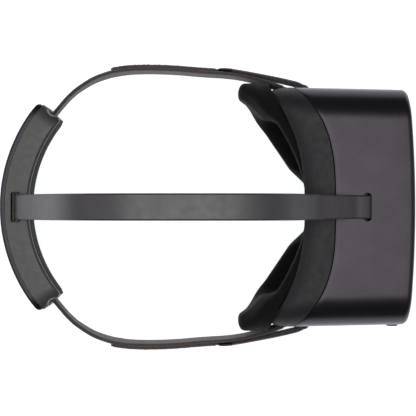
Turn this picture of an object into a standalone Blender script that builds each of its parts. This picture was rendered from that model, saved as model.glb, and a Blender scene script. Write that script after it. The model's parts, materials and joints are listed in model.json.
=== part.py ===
"""Standalone VR headset: a front body with its optics, a rear battery unit and three straps.

Frame: metres. +X is the way the wearer looks, +Y is the wearer's left and +Z is up. The origin is at
the middle of the base, which the undersides of the front body and of the rear unit share.
"""

import math

import bmesh
import bpy
import numpy as np

MM = 0.001
GAP = 0.3 * MM  # left between pieces that touch
LEFT, RIGHT = 1, -1
SIDES = ((LEFT, "left"), (RIGHT, "right"))

# --- driving dimensions: front body ---
BODY_HEIGHT = 95 * MM
BODY_HALF_REAR = 90.5 * MM  # half the width where the shell meets the face frame
BODY_SIDE_TAPER = 1.7 * MM  # how much each side draws in towards the front
BODY_HALF_FRONT = BODY_HALF_REAR - BODY_SIDE_TAPER
BODY_CORNER = 24 * MM
BODY_FRONT = 156.7 * MM  # foremost point of the front cover
FRONT_BOW = 880 * MM  # radius of the front cover's bow, seen from above
FRONT_ROUNDING = 4.5 * MM
WALL = 2.2 * MM
COVER_WALL = 2.0 * MM
SEAM_CENTRE, SEAM_SWEEP, SEAM_POWER = 96.9 * MM, 30.1 * MM, 3.3
FRAME_CENTRE, FRAME_SWEEP, FRAME_POWER = 74.2 * MM, 26.3 * MM, 2.6
FRAME_TAPER = 4 * MM  # how far the face frame draws in from the seam to its rear edge
NOSE_RISE, NOSE_HALF = 20 * MM, 17 * MM
PAD_NOSE_CLEARANCE = 4 * MM  # how much higher the cushion's nose notch is than the frame's

# --- driving dimensions: face cushion ---
PAD_SET_IN = 14.5 * MM  # from the body's side to the middle of the cushion's section
PAD_HALF_WIDTH = BODY_HALF_REAR - PAD_SET_IN
PAD_HALF_SECTION = 6 * MM
PAD_WING_FLARE, PAD_FLARE_RUN = 10.5 * MM, 12 * MM
PAD_SEAT_GAP = 0.5 * MM
PAD_WING_EXTRA = 3.1 * MM
PAD_WING_REACH, PAD_WING_RUN = 19 * MM, 14 * MM
PAD_CHEEK_REACH, PAD_CHEEK_RUN = 6 * MM, 20 * MM
PAD_SIDE_START, PAD_SIDE_RUN = 31 * MM, 25 * MM  # where the section starts to widen, in from its middle
PAD_CURVE_SAG, PAD_CURVE_HALF, PAD_CURVE_POWER = 9.2 * MM, 39.5 * MM, 1.88
PAD_CORNER, PAD_RAISE = 14 * MM, 1 * MM
PAD_SQUARENESS = 0.7
PAD_REST_X = 76 * MM  # rear surface of the cushion at the forehead
CARRIER_SET = 9.8 * MM  # depth of the carrier inside the face frame
CARRIER_WALL = 2 * MM

# --- driving dimensions: optics and electronics ---
EYE_OFFSET = 32 * MM  # half the distance between the lens axes
LENS_RADIUS = 23 * MM
LENS_SAG = 3.2 * MM
BARREL_WALL = 1.6 * MM
PANEL_X = 90 * MM  # rear face of the flat middle of the lens panel
PANEL_WALL = 2 * MM
BRACKET_X, BRACKET_WALL = 104 * MM, 2.5 * MM
DISPLAY_X, DISPLAY_WALL = 125 * MM, 1.6 * MM
DISPLAY_WIDTH, DISPLAY_HEIGHT = 51 * MM, 55 * MM
BOARD_X, BOARD_WALL = 134 * MM, 1.6 * MM
SCREW_RADIUS, SCREW_HEAD_RADIUS, SCREW_HEAD = 1.1 * MM, 2.3 * MM, 1.5 * MM
PANEL_HALF = EYE_OFFSET + LENS_RADIUS + BARREL_WALL + 9 * MM
PANEL_INSET = 2.5 * MM
SCREW_Y = EYE_OFFSET + LENS_RADIUS + 1 * MM
SCREW_Z = 29.5 * MM  # above and below the lens axes
LENS_BACK_X = PANEL_X - 2.5 * MM  # rear rim of a lens barrel
LENS_LEDGE_X = PANEL_X + 8 * MM
SPEAKER_X, SPEAKER_Z = 117 * MM, 24 * MM
SPEAKER_SLOTS, SPEAKER_SLOT_PITCH = 4, 4 * MM
MIC_X = 140 * MM
WINDOW_Z, WINDOW_RADIUS = 29 * MM, 3.6 * MM
RIM_HALF = BODY_HALF_REAR - FRAME_TAPER - WALL - 2.3 * MM

# --- driving dimensions: keys and sockets ---
SIDE_EDGE_X = BODY_FRONT - FRONT_ROUNDING - BODY_HALF_FRONT**2 / (2 * FRONT_BOW)  # where a side starts to round
KEY_SET_BACK, KEY_PITCH, KEY_RADIUS = 5.22 * MM, 15.5 * MM, 4.5 * MM
KEY_X = SIDE_EDGE_X - KEY_SET_BACK
KEY_PROUD, KEY_FLANGE, KEY_STANDOFF = 1.5 * MM, 1.1 * MM, 1.9 * MM
UNDER_X = 120 * MM  # row of keys and sockets on the underside
POWER_Y, VOLUME_Y, USB_Y, JACK_Y = 58 * MM, 30 * MM, -24 * MM, -48 * MM
POWER_SIZE, VOLUME_SIZE = 10 * MM, 24 * MM
UNDER_KEY_WIDTH, UNDER_KEY_DEPTH, UNDER_KEY_SET = 4.4 * MM, 5 * MM, 0.6 * MM
USB_SIZE, USB_DEPTH = (3.3 * MM, 9.0 * MM), 7.5 * MM
JACK_RADIUS, JACK_BORE, JACK_DEPTH = 3.2 * MM, 1.8 * MM, 12 * MM
SOCKET_SET = 0.4 * MM

# --- driving dimensions: rear unit ---
REAR_CENTRE_X = -32.4 * MM
REAR_OUTER, REAR_INNER = 124.3 * MM, 103.5 * MM
REAR_HEIGHT = 66 * MM
REAR_HALF_SPAN = 40.6  # degrees
REAR_SHELL_DEPTH, REAR_SHELL_WALL = 4.0 * MM, 2.0 * MM
REAR_PAD_DEPTH = 2.5 * MM
REAR_WALL = 2 * MM
CELL_ANGLES = (6.0, 32.5)
BOOT_ANGLE = 5.0
BOOT_WIDTH, BOOT_HEIGHT = 7.8 * MM, 32 * MM

# --- driving dimensions: straps ---
STRAP_THICK, STRAP_HEIGHT, STRAP_ROOT_HEIGHT = 2.9 * MM, 36 * MM, 20 * MM
STRAP_MIDDLE, STRAP_ROOT_MIDDLE = BODY_HEIGHT / 2, REAR_HEIGHT / 2
STRAP_ROOT_RADIUS = 112 * MM
PILE_THICK, PILE_HEIGHT = 1.6 * MM, 33 * MM
PILE_FROM, PILE_TO = -72 * MM, 9.3 * MM
TAIL_THICK, TAIL_HEIGHT = 2.0 * MM, 34 * MM
TAB_THICK = 2.4 * MM
BAR_X, BAR_SET, BAR_RADIUS = 75.6 * MM, 2.4 * MM, 1.4 * MM  # set in from the body's side
BAR_Y = BODY_HALF_REAR - BAR_SET
LOOP_X, LOOP_SET, LOOP_RADIUS = 75.2 * MM, 1.6 * MM, 3.6 * MM
LOOP_Y = BODY_HALF_REAR - LOOP_SET
POCKET_FROM, POCKET_TO, POCKET_DEPTH = 57.2 * MM, 81.2 * MM, 6.7 * MM
POCKET_FLOOR = BODY_HALF_REAR - POCKET_DEPTH
POCKET_HEIGHT, POCKET_WALL = 42 * MM, 1.6 * MM
TOP_STRAP_WIDTH, TOP_STRAP_FRONT_WIDTH, TOP_STRAP_THICK = 19.15 * MM, 17.3 * MM, 2.2 * MM
LEAD_WIDTH, LEAD_THICK = 11.4 * MM, 0.6 * MM
FRONT_SLOT = (117.6 * MM, 123.5 * MM, 10.55 * MM)  # from X, to X, half length
REAR_APEX = REAR_CENTRE_X - REAR_OUTER
REAR_SLOT = (REAR_APEX + 8.9 * MM, REAR_APEX + 16.1 * MM, 11.2 * MM)

# --- how finely the curves are drawn ---
EDGE_STEPS, CORNER_STEPS, SIDE_STEPS = 12, 4, 2
ARC_STEPS = 20
ROUND_STEPS = 18

MIDDLE = BODY_HEIGHT / 2


# --- materials -----------------------------------------------------------------------------------


def finish(name, colour, roughness, metallic=0.0):
    """A Principled material."""
    look = bpy.data.materials.new(name)
    look.use_nodes = True
    shader = look.node_tree.nodes["Principled BSDF"]
    shader.inputs["Base Color"].default_value = (*colour, 1)
    shader.inputs["Roughness"].default_value = roughness
    shader.inputs["Metallic"].default_value = metallic
    return look


def finishes():
    """Every finish on the object, by name."""
    return {
        "satin_shell": finish("satin_shell", (0.085, 0.076, 0.083), 0.38),
        "black_gloss": finish("black_gloss", (0.01, 0.01, 0.012), 0.12),
        "matte_frame": finish("matte_frame", (0.045, 0.042, 0.048), 0.6),
        "grey_housing": finish("grey_housing", (0.105, 0.105, 0.1), 0.62),
        "black_plastic": finish("black_plastic", (0.02, 0.02, 0.021), 0.5),
        "knit": finish("knit", (0.03, 0.026, 0.024), 0.95),
        "webbing": finish("webbing", (0.055, 0.048, 0.044), 0.9),
        "pile": finish("pile", (0.05, 0.044, 0.04), 1.0),
        "strap_rubber": finish("strap_rubber", (0.12, 0.105, 0.105), 0.55),
        "steel": finish("steel", (0.6, 0.6, 0.6), 0.3, 1.0),
        "aluminium": finish("aluminium", (0.7, 0.7, 0.72), 0.4, 1.0),
        "board": finish("board", (0.01, 0.07, 0.03), 0.5),
        "lens": finish("lens", (0.8, 0.85, 0.85), 0.05),
        "display": finish("display", (0.005, 0.005, 0.008), 0.1),
        "cell_wrap": finish("cell_wrap", (0.12, 0.13, 0.16), 0.5),
        "lead_sheath": finish("lead_sheath", (0.015, 0.015, 0.015), 0.6),
    }


# --- solids --------------------------------------------------------------------------------------


def solid(name, rings, look, wrap=False, crease=35):
    """A closed solid through equal rings of points, its ends capped, or joined when wrap is set."""
    count = len(rings[0])
    points = np.concatenate([np.asarray(ring, float) for ring in rings])
    step = np.arange(count)
    after = (step + 1) % count
    faces = []
    for ring in range(len(rings) if wrap else len(rings) - 1):
        here = ring * count
        there = (ring + 1) % len(rings) * count
        faces += np.stack([here + step, here + after, there + after, there + step], 1).tolist()
    if not wrap:
        faces.append(step.tolist())
        faces.append((len(points) - count + step).tolist())
    mesh = bpy.data.meshes.new(name)
    mesh.from_pydata(points.tolist(), [], faces)
    shape = bmesh.new()
    shape.from_mesh(mesh)
    bmesh.ops.recalc_face_normals(shape, faces=shape.faces)
    shape.to_mesh(mesh)
    shape.free()
    mesh.materials.append(look)
    mesh.shade_smooth()
    mesh.set_sharp_from_angle(angle=math.radians(crease))
    part = bpy.data.objects.new(name, mesh)
    bpy.context.scene.collection.objects.link(part)
    return part


def joined(*lists):
    """One list of rings out of several."""
    return [ring for rings in lists for ring in rings]


def box(name, low, high, look, bevel=0.0):
    """A block between two corners, with its edges bevelled."""
    (x0, y0, z0), (x1, y1, z1) = low, high
    plan = [(x0, y0), (x1, y0), (x1, y1), (x0, y1)]
    part = prism(name, plan, z0, z1, look)
    if bevel:
        edge = part.modifiers.new("edges", "BEVEL")
        edge.width = bevel
        edge.segments = 2
    return part


def prism(name, plan, low, high, look):
    """A plan outline carried straight up from one height to another."""
    rings = [[(x, y, z) for x, y in plan] for z in (low, high)]
    return solid(name, rings, look)


def turned(name, profile, start, axis, look, wrap=False, steps=ROUND_STEPS):
    """A profile of (distance along the axis, radius) turned round the axis that leaves start."""
    axis = np.array(axis, float)
    axis /= np.linalg.norm(axis)
    guide = np.array((0.0, 0.0, 1.0)) if abs(axis[2]) < 0.9 else np.array((1.0, 0.0, 0.0))
    across = np.cross(guide, axis)
    across /= np.linalg.norm(across)
    up = np.cross(axis, across)
    angle = np.linspace(0, 2 * math.pi, steps, endpoint=False)[:, None]
    circle = np.cos(angle) * across + np.sin(angle) * up
    rings = [np.array(start) + along * axis + radius * circle for along, radius in profile]
    return solid(name, rings, look, wrap)


def stadium(centre, half_length, half_width, steps=8):
    """Plan of a slot with round ends that runs along Y."""
    x, y = centre
    turn = np.linspace(0, math.pi, steps + 1)
    straight = half_length - half_width
    top = [(x + half_width * math.cos(a), y + straight + half_width * math.sin(a)) for a in turn]
    low = [(x - half_width * math.cos(a), y - straight - half_width * math.sin(a)) for a in turn]
    return top + low


def as_cutter(part):
    """Keeps a cutting tool out of the finished object."""
    part.hide_render = True
    part.display_type = "WIRE"
    return part


def cut(part, tools, operation="DIFFERENCE", solver="EXACT"):
    """Cuts a part with all the tools at once, or welds them on to it."""
    together = bmesh.new()
    for tool in tools:
        together.from_mesh(tool.data)
    together.to_mesh(tools[0].data)
    together.free()
    for tool in tools[1:]:
        bpy.data.objects.remove(tool)
    step = part.modifiers.new(tools[0].name, "BOOLEAN")
    step.operation = operation
    step.solver = solver
    step.object = as_cutter(tools[0])


def drilled(name, radius, length, start, axis, look, steps=ROUND_STEPS):
    """A round cutter of one radius."""
    return turned(name, [(0, radius), (length, radius)], start, axis, look, steps=steps)


def set_pivot(part, point):
    """Puts a moving piece's origin on its joint's axis, and leaves the piece where it is."""
    point = np.array(point, float)
    places = np.empty(len(part.data.vertices) * 3)
    part.data.vertices.foreach_get("co", places)
    part.data.vertices.foreach_set("co", (places.reshape(-1, 3) - point).ravel())
    part.location = point


# --- outlines of the front body -------------------------------------------------------------------


def smoothstep(value):
    """Rises from 0 to 1 with level ends."""
    value = np.clip(value, 0, 1)
    return value * value * (3 - 2 * value)


def outline(half_width, low, high, radius, notch=0.0):
    """Y and Z of a rounded rectangle seen from behind, whose lower edge rises over the nose."""
    corner_y, top_z, low_z = half_width - radius, high - radius, low + radius
    turn = np.linspace(0, math.pi / 2, CORNER_STEPS + 1)
    across = np.linspace(corner_y, -corner_y, EDGE_STEPS + 1)[1:-1]
    down = np.linspace(top_z, low_z, SIDE_STEPS + 1)[1:-1]
    y = [corner_y + radius * np.cos(turn), across, -corner_y - radius * np.sin(turn)]
    z = [top_z + radius * np.sin(turn), np.full_like(across, high), top_z + radius * np.cos(turn)]
    y += [np.full_like(down, -half_width), -corner_y - radius * np.cos(turn), -across]
    z += [down, low_z - radius * np.sin(turn), np.full_like(across, low)]
    y += [corner_y + radius * np.sin(turn), np.full_like(down, half_width)]
    z += [low_z - radius * np.cos(turn), down[::-1]]
    y, z = np.concatenate(y), np.concatenate(z)
    middle = (low + high) / 2
    below = np.clip((middle - z) / (middle - low), 0, 1)
    return y, z + notch * below * np.exp(-((y / NOSE_HALF) ** 2))


def seam_x(y):
    """Plan of the seam between the shell and the face frame."""
    return SEAM_CENTRE - SEAM_SWEEP * (np.abs(y) / BODY_HALF_REAR) ** SEAM_POWER


def frame_x(y):
    """Plan of the face frame's rear edge."""
    return FRAME_CENTRE - FRAME_SWEEP * (np.abs(y) / (BODY_HALF_REAR - FRAME_TAPER)) ** FRAME_POWER


def front_x(y):
    """Plan of the front cover."""
    return BODY_FRONT - y * y / (2 * FRONT_BOW)


def ring_at(y, z, x):
    """Points from their three coordinates."""
    return np.stack([x + 0 * y, y, z], 1)


def body_ring(station, depth=0.0):
    """A ring of the body: station 0 is the seam, 1 the front rounding's start, 2 its end."""
    along = min(station, 1.0)
    turn = math.pi / 2 * max(station - 1.0, 0.0)
    rounding = FRONT_ROUNDING - depth
    inset = depth + rounding * (1 - math.cos(turn))
    half = BODY_HALF_REAR + (BODY_HALF_FRONT - BODY_HALF_REAR) * along
    y, z = outline(half - inset, inset, BODY_HEIGHT - inset, BODY_CORNER - inset)
    start = seam_x(y)
    edge = front_x(y) - FRONT_ROUNDING
    return ring_at(y, z, start + (edge - start) * along + rounding * math.sin(turn))


def face_ring(scale, depth=0.0):
    """A ring on the front cover's face, shrunk about the middle of the face."""
    inset = FRONT_ROUNDING
    half = BODY_HALF_FRONT - inset
    y, z = outline(half, inset, BODY_HEIGHT - inset, BODY_CORNER - inset)
    y = y * scale
    z = MIDDLE + (z - MIDDLE) * scale
    return ring_at(y, z, front_x(y) - depth)


def frame_ring(station, depth=0.0):
    """A ring of the face frame: station 0 is its rear edge and 1 the seam."""
    half = BODY_HALF_REAR - FRAME_TAPER * (1 - station) ** 1.5 - depth
    inset = FRAME_TAPER * (1 - station) ** 1.5 + depth
    notch = NOSE_RISE * (1 - station) ** 2
    y, z = outline(half, inset, BODY_HEIGHT - inset, BODY_CORNER - inset, notch)
    start = frame_x(y)
    return ring_at(y, z, start + (seam_x(y) - GAP - start) * station)


def inner_ring(inset, x_of_y, width=None):
    """A ring inside the face frame: inset from its rear opening, at a plan curve or a plane."""
    clear = FRAME_TAPER + WALL + inset
    half = BODY_HALF_REAR - clear if width is None else width
    radius = max(BODY_CORNER - clear, 8 * MM)
    y, z = outline(half, clear, BODY_HEIGHT - clear, radius, NOSE_RISE)
    return ring_at(y, z, x_of_y(y))


# --- front body -----------------------------------------------------------------------------------


def key_heights():
    """Heights of the three keys on the right side."""
    return [MIDDLE + KEY_PITCH * place for place in (1, 0, -1)]


def side_y(x):
    """Half width of the body at a distance along it."""
    share = (x - (SEAM_CENTRE - SEAM_SWEEP)) / (BODY_FRONT - FRONT_ROUNDING - SEAM_CENTRE + SEAM_SWEEP)
    return BODY_HALF_REAR + (BODY_HALF_FRONT - BODY_HALF_REAR) * np.clip(share, 0, 1)


def pocket_window(name, side, look):
    """Cutter for the opening in the body's side that the strap pocket fills."""
    low, high = POCKET_FLOOR - 6 * MM, BODY_HALF_REAR + 6 * MM
    y = sorted((side * low, side * high))
    edge = POCKET_WALL + GAP
    bottom = MIDDLE - POCKET_HEIGHT / 2 - edge
    top = MIDDLE + POCKET_HEIGHT / 2 + edge
    return box(name, (POCKET_FROM - edge, y[0], bottom), (POCKET_TO + edge, y[1], top), look)


def main_shell(looks):
    """The satin shell round the front body, open at both ends."""
    stops = [0, 0.3, 0.65, 1, 1.16, 1.32, 1.48, 1.62]
    outer = [body_ring(stop) for stop in stops]
    inner = [body_ring(stop, WALL) for stop in stops]
    shell = solid("main_shell", joined(outer, inner[::-1]), looks["satin_shell"], wrap=True)
    tool_look = looks["steel"]
    tools = [pocket_window("shell_window_" + word, side, tool_look) for side, word in SIDES]
    low, high, half = FRONT_SLOT
    plan = stadium(((low + high) / 2, 0), half, (high - low) / 2)
    tools.append(prism("front_slot", plan, BODY_HEIGHT - 6 * MM, BODY_HEIGHT + 6 * MM, tool_look))
    for place, height in enumerate(key_heights()):
        start = (KEY_X, -side_y(KEY_X) - 5 * MM, height)
        tools.append(drilled(f"key_hole_{place}", KEY_RADIUS + GAP, 10 * MM, start, (0, 1, 0), tool_look))
    for name, y, half, width in (
        ("power_hole", POWER_Y, POWER_SIZE / 2, UNDER_KEY_WIDTH / 2),
        ("volume_hole", VOLUME_Y, VOLUME_SIZE / 2, UNDER_KEY_WIDTH / 2),
        ("usb_hole", USB_Y, USB_SIZE[1] / 2, USB_SIZE[0] / 2),
    ):
        plan = stadium((UNDER_X, y), half + GAP, width + GAP)
        tools.append(prism(name, plan, -3 * MM, WALL + 3 * MM, tool_look))
    for name, x, y, radius in (
        ("jack_hole", UNDER_X, JACK_Y, JACK_RADIUS + GAP),
        ("mic_hole", MIC_X, 0, 0.8 * MM),
    ):
        tools.append(drilled(name, radius, 8 * MM, (x, y, -3 * MM), (0, 0, 1), tool_look))
    for side, word in SIDES:
        for place in range(SPEAKER_SLOTS):
            x = SPEAKER_X + (place - (SPEAKER_SLOTS - 1) / 2) * SPEAKER_SLOT_PITCH
            y = sorted((side * (side_y(x) - 4 * MM), side * (side_y(x) + 4 * MM)))
            low = (x - 0.7 * MM, y[0], SPEAKER_Z)
            high = (x + 0.7 * MM, y[1], SPEAKER_Z + 10 * MM)
            tools.append(box(f"speaker_slot_{word}_{place}", low, high, tool_look))
    cut(shell, tools)
    return shell


def front_cover(looks):
    """The glossy cover that closes the shell's front."""
    rim = [1.655, 1.77, 1.88]
    scales = [0.3, 0.65, 1.0]
    back = [face_ring(scale, COVER_WALL) for scale in scales]
    edge = [body_ring(rim[0], COVER_WALL)] + [body_ring(stop) for stop in rim]
    face = [face_ring(scale) for scale in scales[::-1]]
    return solid("front_cover", joined(back, edge, face), looks["black_gloss"])


def face_frame(looks):
    """The matte frame between the shell and the cushion."""
    stops = [0, 0.08, 0.3, 0.65, 1]
    outer = [frame_ring(stop) for stop in stops]
    inner = [frame_ring(stop, WALL) for stop in stops[1:]]
    first = frame_ring(stops[0], WALL)
    rings = joined(outer, inner[::-1], [first])
    frame = solid("face_frame", rings, looks["matte_frame"], wrap=True)
    cut(frame, [pocket_window("frame_window_" + word, side, looks["steel"]) for side, word in SIDES])
    return frame


# --- cushion --------------------------------------------------------------------------------------


def carrier_x(y):
    """Plan of the carrier's rear face, where the cushion sits."""
    return frame_x(y) + CARRIER_SET


def cushion_carrier(looks):
    """The rigid ring that the cushion is fixed to, which unclips from the face frame."""
    edge, inside = 0.7 * MM, PAD_HALF_WIDTH - PAD_HALF_SECTION
    inner_inset = BODY_HALF_REAR - FRAME_TAPER - WALL - inside
    rings = [
        inner_ring(edge, carrier_x),
        inner_ring(edge, lambda y: carrier_x(y) + CARRIER_WALL),
        inner_ring(inner_inset, lambda y: carrier_x(y) + CARRIER_WALL),
        inner_ring(inner_inset, carrier_x),
    ]
    return solid("cushion_carrier", rings, looks["black_plastic"], wrap=True)


def cushion_back_x(y, z):
    """Plan of the cushion's rear surface: the face's curve, with wings at the temples."""
    curve = PAD_REST_X - PAD_CURVE_SAG * (np.abs(y) / PAD_CURVE_HALF) ** PAD_CURVE_POWER
    temple = smoothstep((np.abs(y) - PAD_HALF_WIDTH) / PAD_WING_RUN + 1)
    cheek = PAD_CHEEK_REACH * smoothstep((MIDDLE - z) / PAD_CHEEK_RUN) * (1 - temple)
    return curve - PAD_WING_REACH * temple - cheek


def face_cushion(looks):
    """The soft ring against the face, one rounded section carried round the opening."""
    clear = BODY_HALF_REAR - PAD_HALF_WIDTH
    notch = NOSE_RISE + PAD_NOSE_CLEARANCE
    low, high = clear - PAD_RAISE, BODY_HEIGHT - clear + PAD_RAISE
    y, z = outline(PAD_HALF_WIDTH, low, high, PAD_CORNER, notch)
    slope_y = np.roll(y, -1) - np.roll(y, 1)
    slope_z = np.roll(z, -1) - np.roll(z, 1)
    size = np.hypot(slope_y, slope_z)
    out_y, out_z = slope_z / size, -slope_y / size
    inward = PAD_HALF_WIDTH - np.abs(y)
    side = smoothstep((PAD_SIDE_START - inward) / PAD_SIDE_RUN) * np.abs(out_y)
    back = cushion_back_x(y, z)
    rings = []
    for turn in np.linspace(0, 2 * math.pi, 12, endpoint=False):
        wide, deep = math.cos(turn), math.sin(turn)
        wide = math.copysign(abs(wide) ** PAD_SQUARENESS, wide)
        deep = math.copysign(abs(deep) ** PAD_SQUARENESS, deep)
        share = (1 - deep) / 2
        half = PAD_HALF_SECTION + PAD_WING_EXTRA * side * share
        front = carrier_x(y + out_y * half * wide) - PAD_SEAT_GAP
        x = back + (front - back) * (1 - share)
        flare = smoothstep((frame_x(y + out_y * FRAME_TAPER * 2.5) - 1 * MM - x) / PAD_FLARE_RUN)
        off = half * wide + PAD_WING_FLARE * side * flare
        rings.append(ring_at(y + out_y * off, z + out_z * off, x))
    return solid("face_cushion", rings, looks["knit"], wrap=True)


# --- optics and electronics -----------------------------------------------------------------------


def screw(name, start, axis, length, looks):
    """A pan-head screw whose head starts at a point and whose shank follows the axis."""
    profile = [
        (0, SCREW_HEAD_RADIUS * 0.7),
        (0.3 * SCREW_HEAD, SCREW_HEAD_RADIUS),
        (SCREW_HEAD, SCREW_HEAD_RADIUS),
        (SCREW_HEAD, SCREW_RADIUS),
        (length, SCREW_RADIUS),
        (length + 0.6 * MM, SCREW_RADIUS * 0.5),
    ]
    return turned(name, profile, start, axis, looks["steel"], steps=10)


def panel_screw_places():
    """Y and Z of the four screws through the lens panel."""
    return [(y * SCREW_Y, MIDDLE + z * SCREW_Z) for y in (1, -1) for z in (1, -1)]


def lens_panel(looks):
    """The dark cup behind the eyes: a flat middle with both lens openings, and a flared rim."""

    def rim_x(y):
        """Plan of the panel's rim, just in front of the carrier."""
        return carrier_x(y) + CARRIER_WALL + GAP

    def wall(lift):
        """Rings of the panel's surface, lifted forward by a thickness."""
        middle = [inner_ring(PANEL_INSET, lambda y: PANEL_X + lift + 0 * y, PANEL_HALF)]
        for scale in (0.6, 0.25):
            ring = middle[0].copy()
            ring[:, 1] *= scale
            ring[:, 2] = MIDDLE + 4 * MM + (ring[:, 2] - MIDDLE - 4 * MM) * scale
            middle.append(ring)
        flare = inner_ring(
            1.4 * MM, lambda y: (rim_x(y) + PANEL_X) / 2 + lift, (PANEL_HALF + RIM_HALF) / 2
        )
        rim = inner_ring(0.7 * MM, lambda y: rim_x(y) + lift, RIM_HALF)
        return middle[::-1] + [flare, rim]

    rings = joined(wall(0), wall(PANEL_WALL)[::-1])
    panel = solid("lens_panel", rings, looks["black_plastic"])
    tool_look = looks["steel"]
    tools = []
    for side, word in SIDES:
        start = (PANEL_X - 20 * MM, side * EYE_OFFSET, MIDDLE)
        radius = LENS_RADIUS + BARREL_WALL + 0.4 * MM + GAP
        tools.append(drilled("eye_hole_" + word, radius, 40 * MM, start, (1, 0, 0), tool_look))
    for place, (y, z) in enumerate(panel_screw_places()):
        start = (PANEL_X - 10 * MM, y, z)
        name = f"panel_screw_hole_{place}"
        tools.append(drilled(name, SCREW_RADIUS + GAP, 20 * MM, start, (1, 0, 0), tool_look, 10))
    start = (PANEL_X - 10 * MM, 0, MIDDLE + WINDOW_Z)
    tools.append(drilled("window_hole", WINDOW_RADIUS + GAP, 20 * MM, start, (1, 0, 0), tool_look, 16))
    cut(panel, tools)
    return panel


def lens_barrel(side, word, looks):
    """The tube that holds one lens at its rear and stops short of the display."""
    seat = LENS_RADIUS + GAP
    outer = LENS_RADIUS + BARREL_WALL
    end = DISPLAY_X - GAP - LENS_BACK_X
    ledge = LENS_LEDGE_X - LENS_BACK_X
    profile = [
        (0, seat),
        (0, outer - 0.4 * MM),
        (0.5 * MM, outer),
        (end, outer),
        (end, seat - 1.8 * MM),
        (ledge, seat - 1.8 * MM),
        (ledge, seat),
    ]
    start = (LENS_BACK_X, side * EYE_OFFSET, MIDDLE)
    return turned("lens_barrel_" + word, profile, start, (1, 0, 0), looks["black_plastic"], wrap=True)


def lens(side, word, looks):
    """A lens that bulges towards the eye and rests against the barrel's ledge."""
    front = LENS_LEDGE_X - GAP
    edge = front - 2.2 * MM
    steps = 5
    dome = [
        (-LENS_SAG * math.cos(turn) ** 1.2, LENS_RADIUS * math.sin(turn))
        for turn in np.linspace(0.12, math.pi / 2, steps)
    ]
    rest = [(front - edge, LENS_RADIUS), (front - edge + 1.0 * MM, LENS_RADIUS * 0.5)]
    rest.append((front - edge + 1.3 * MM, LENS_RADIUS * 0.1))
    return turned("lens_" + word, dome + rest, (edge, side * EYE_OFFSET, MIDDLE), (1, 0, 0), looks["lens"])


def optics_bracket(looks):
    """The plate that carries both lens barrels and takes the screws of the lens panel."""
    inset = WALL + 1 * MM
    radius = BODY_CORNER - inset
    half = BODY_HALF_FRONT - inset
    y, z = outline(half, inset, BODY_HEIGHT - inset, radius)
    rings = [ring_at(y, z, BRACKET_X), ring_at(y, z, BRACKET_X + BRACKET_WALL)]
    plate = solid("optics_bracket", rings, looks["black_plastic"])
    tool_look = looks["steel"]
    post_start = PANEL_X + PANEL_WALL + GAP
    post_length = BRACKET_X + BRACKET_WALL / 2 - post_start
    posts, bores = [], []
    for place, (y, z) in enumerate(panel_screw_places()):
        radius = SCREW_RADIUS + 2 * MM
        start = (post_start, y, z)
        posts.append(drilled(f"bracket_post_{place}", radius, post_length, start, (1, 0, 0), tool_look, 12))
        radius = SCREW_RADIUS + GAP
        start = (post_start - 3 * MM, y, z)
        bores.append(drilled(f"bracket_bore_{place}", radius, 14 * MM, start, (1, 0, 0), tool_look, 10))
    for side, word in SIDES:
        start = (BRACKET_X - 10 * MM, side * EYE_OFFSET, MIDDLE)
        radius = LENS_RADIUS + BARREL_WALL + GAP
        bores.append(drilled("barrel_hole_" + word, radius, 20 * MM, start, (1, 0, 0), tool_look))
    cut(plate, posts, "UNION")
    cut(plate, bores)
    return plate


def optics(looks):
    """Lens panel, bracket, barrels, lenses, displays and their screws."""
    lens_panel(looks)
    optics_bracket(looks)
    for side, word in SIDES:
        lens_barrel(side, word, looks)
        lens(side, word, looks)
        y = side * EYE_OFFSET
        low = (DISPLAY_X, y - DISPLAY_WIDTH / 2, MIDDLE - DISPLAY_HEIGHT / 2)
        high = (DISPLAY_X + DISPLAY_WALL, y + DISPLAY_WIDTH / 2, MIDDLE + DISPLAY_HEIGHT / 2)
        box("display_" + word, low, high, looks["display"], 0.4 * MM)
    for place, (y, z) in enumerate(panel_screw_places()):
        start = (PANEL_X - GAP - SCREW_HEAD, y, z)
        screw(f"panel_screw_{place + 1}", start, (1, 0, 0), 10 * MM, looks)
    start = (PANEL_X + 0.3 * MM, 0, MIDDLE + WINDOW_Z)
    disc = [(0, WINDOW_RADIUS), (1.3 * MM, WINDOW_RADIUS)]
    turned("proximity_window", disc, start, (1, 0, 0), looks["black_gloss"], steps=20)


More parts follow.
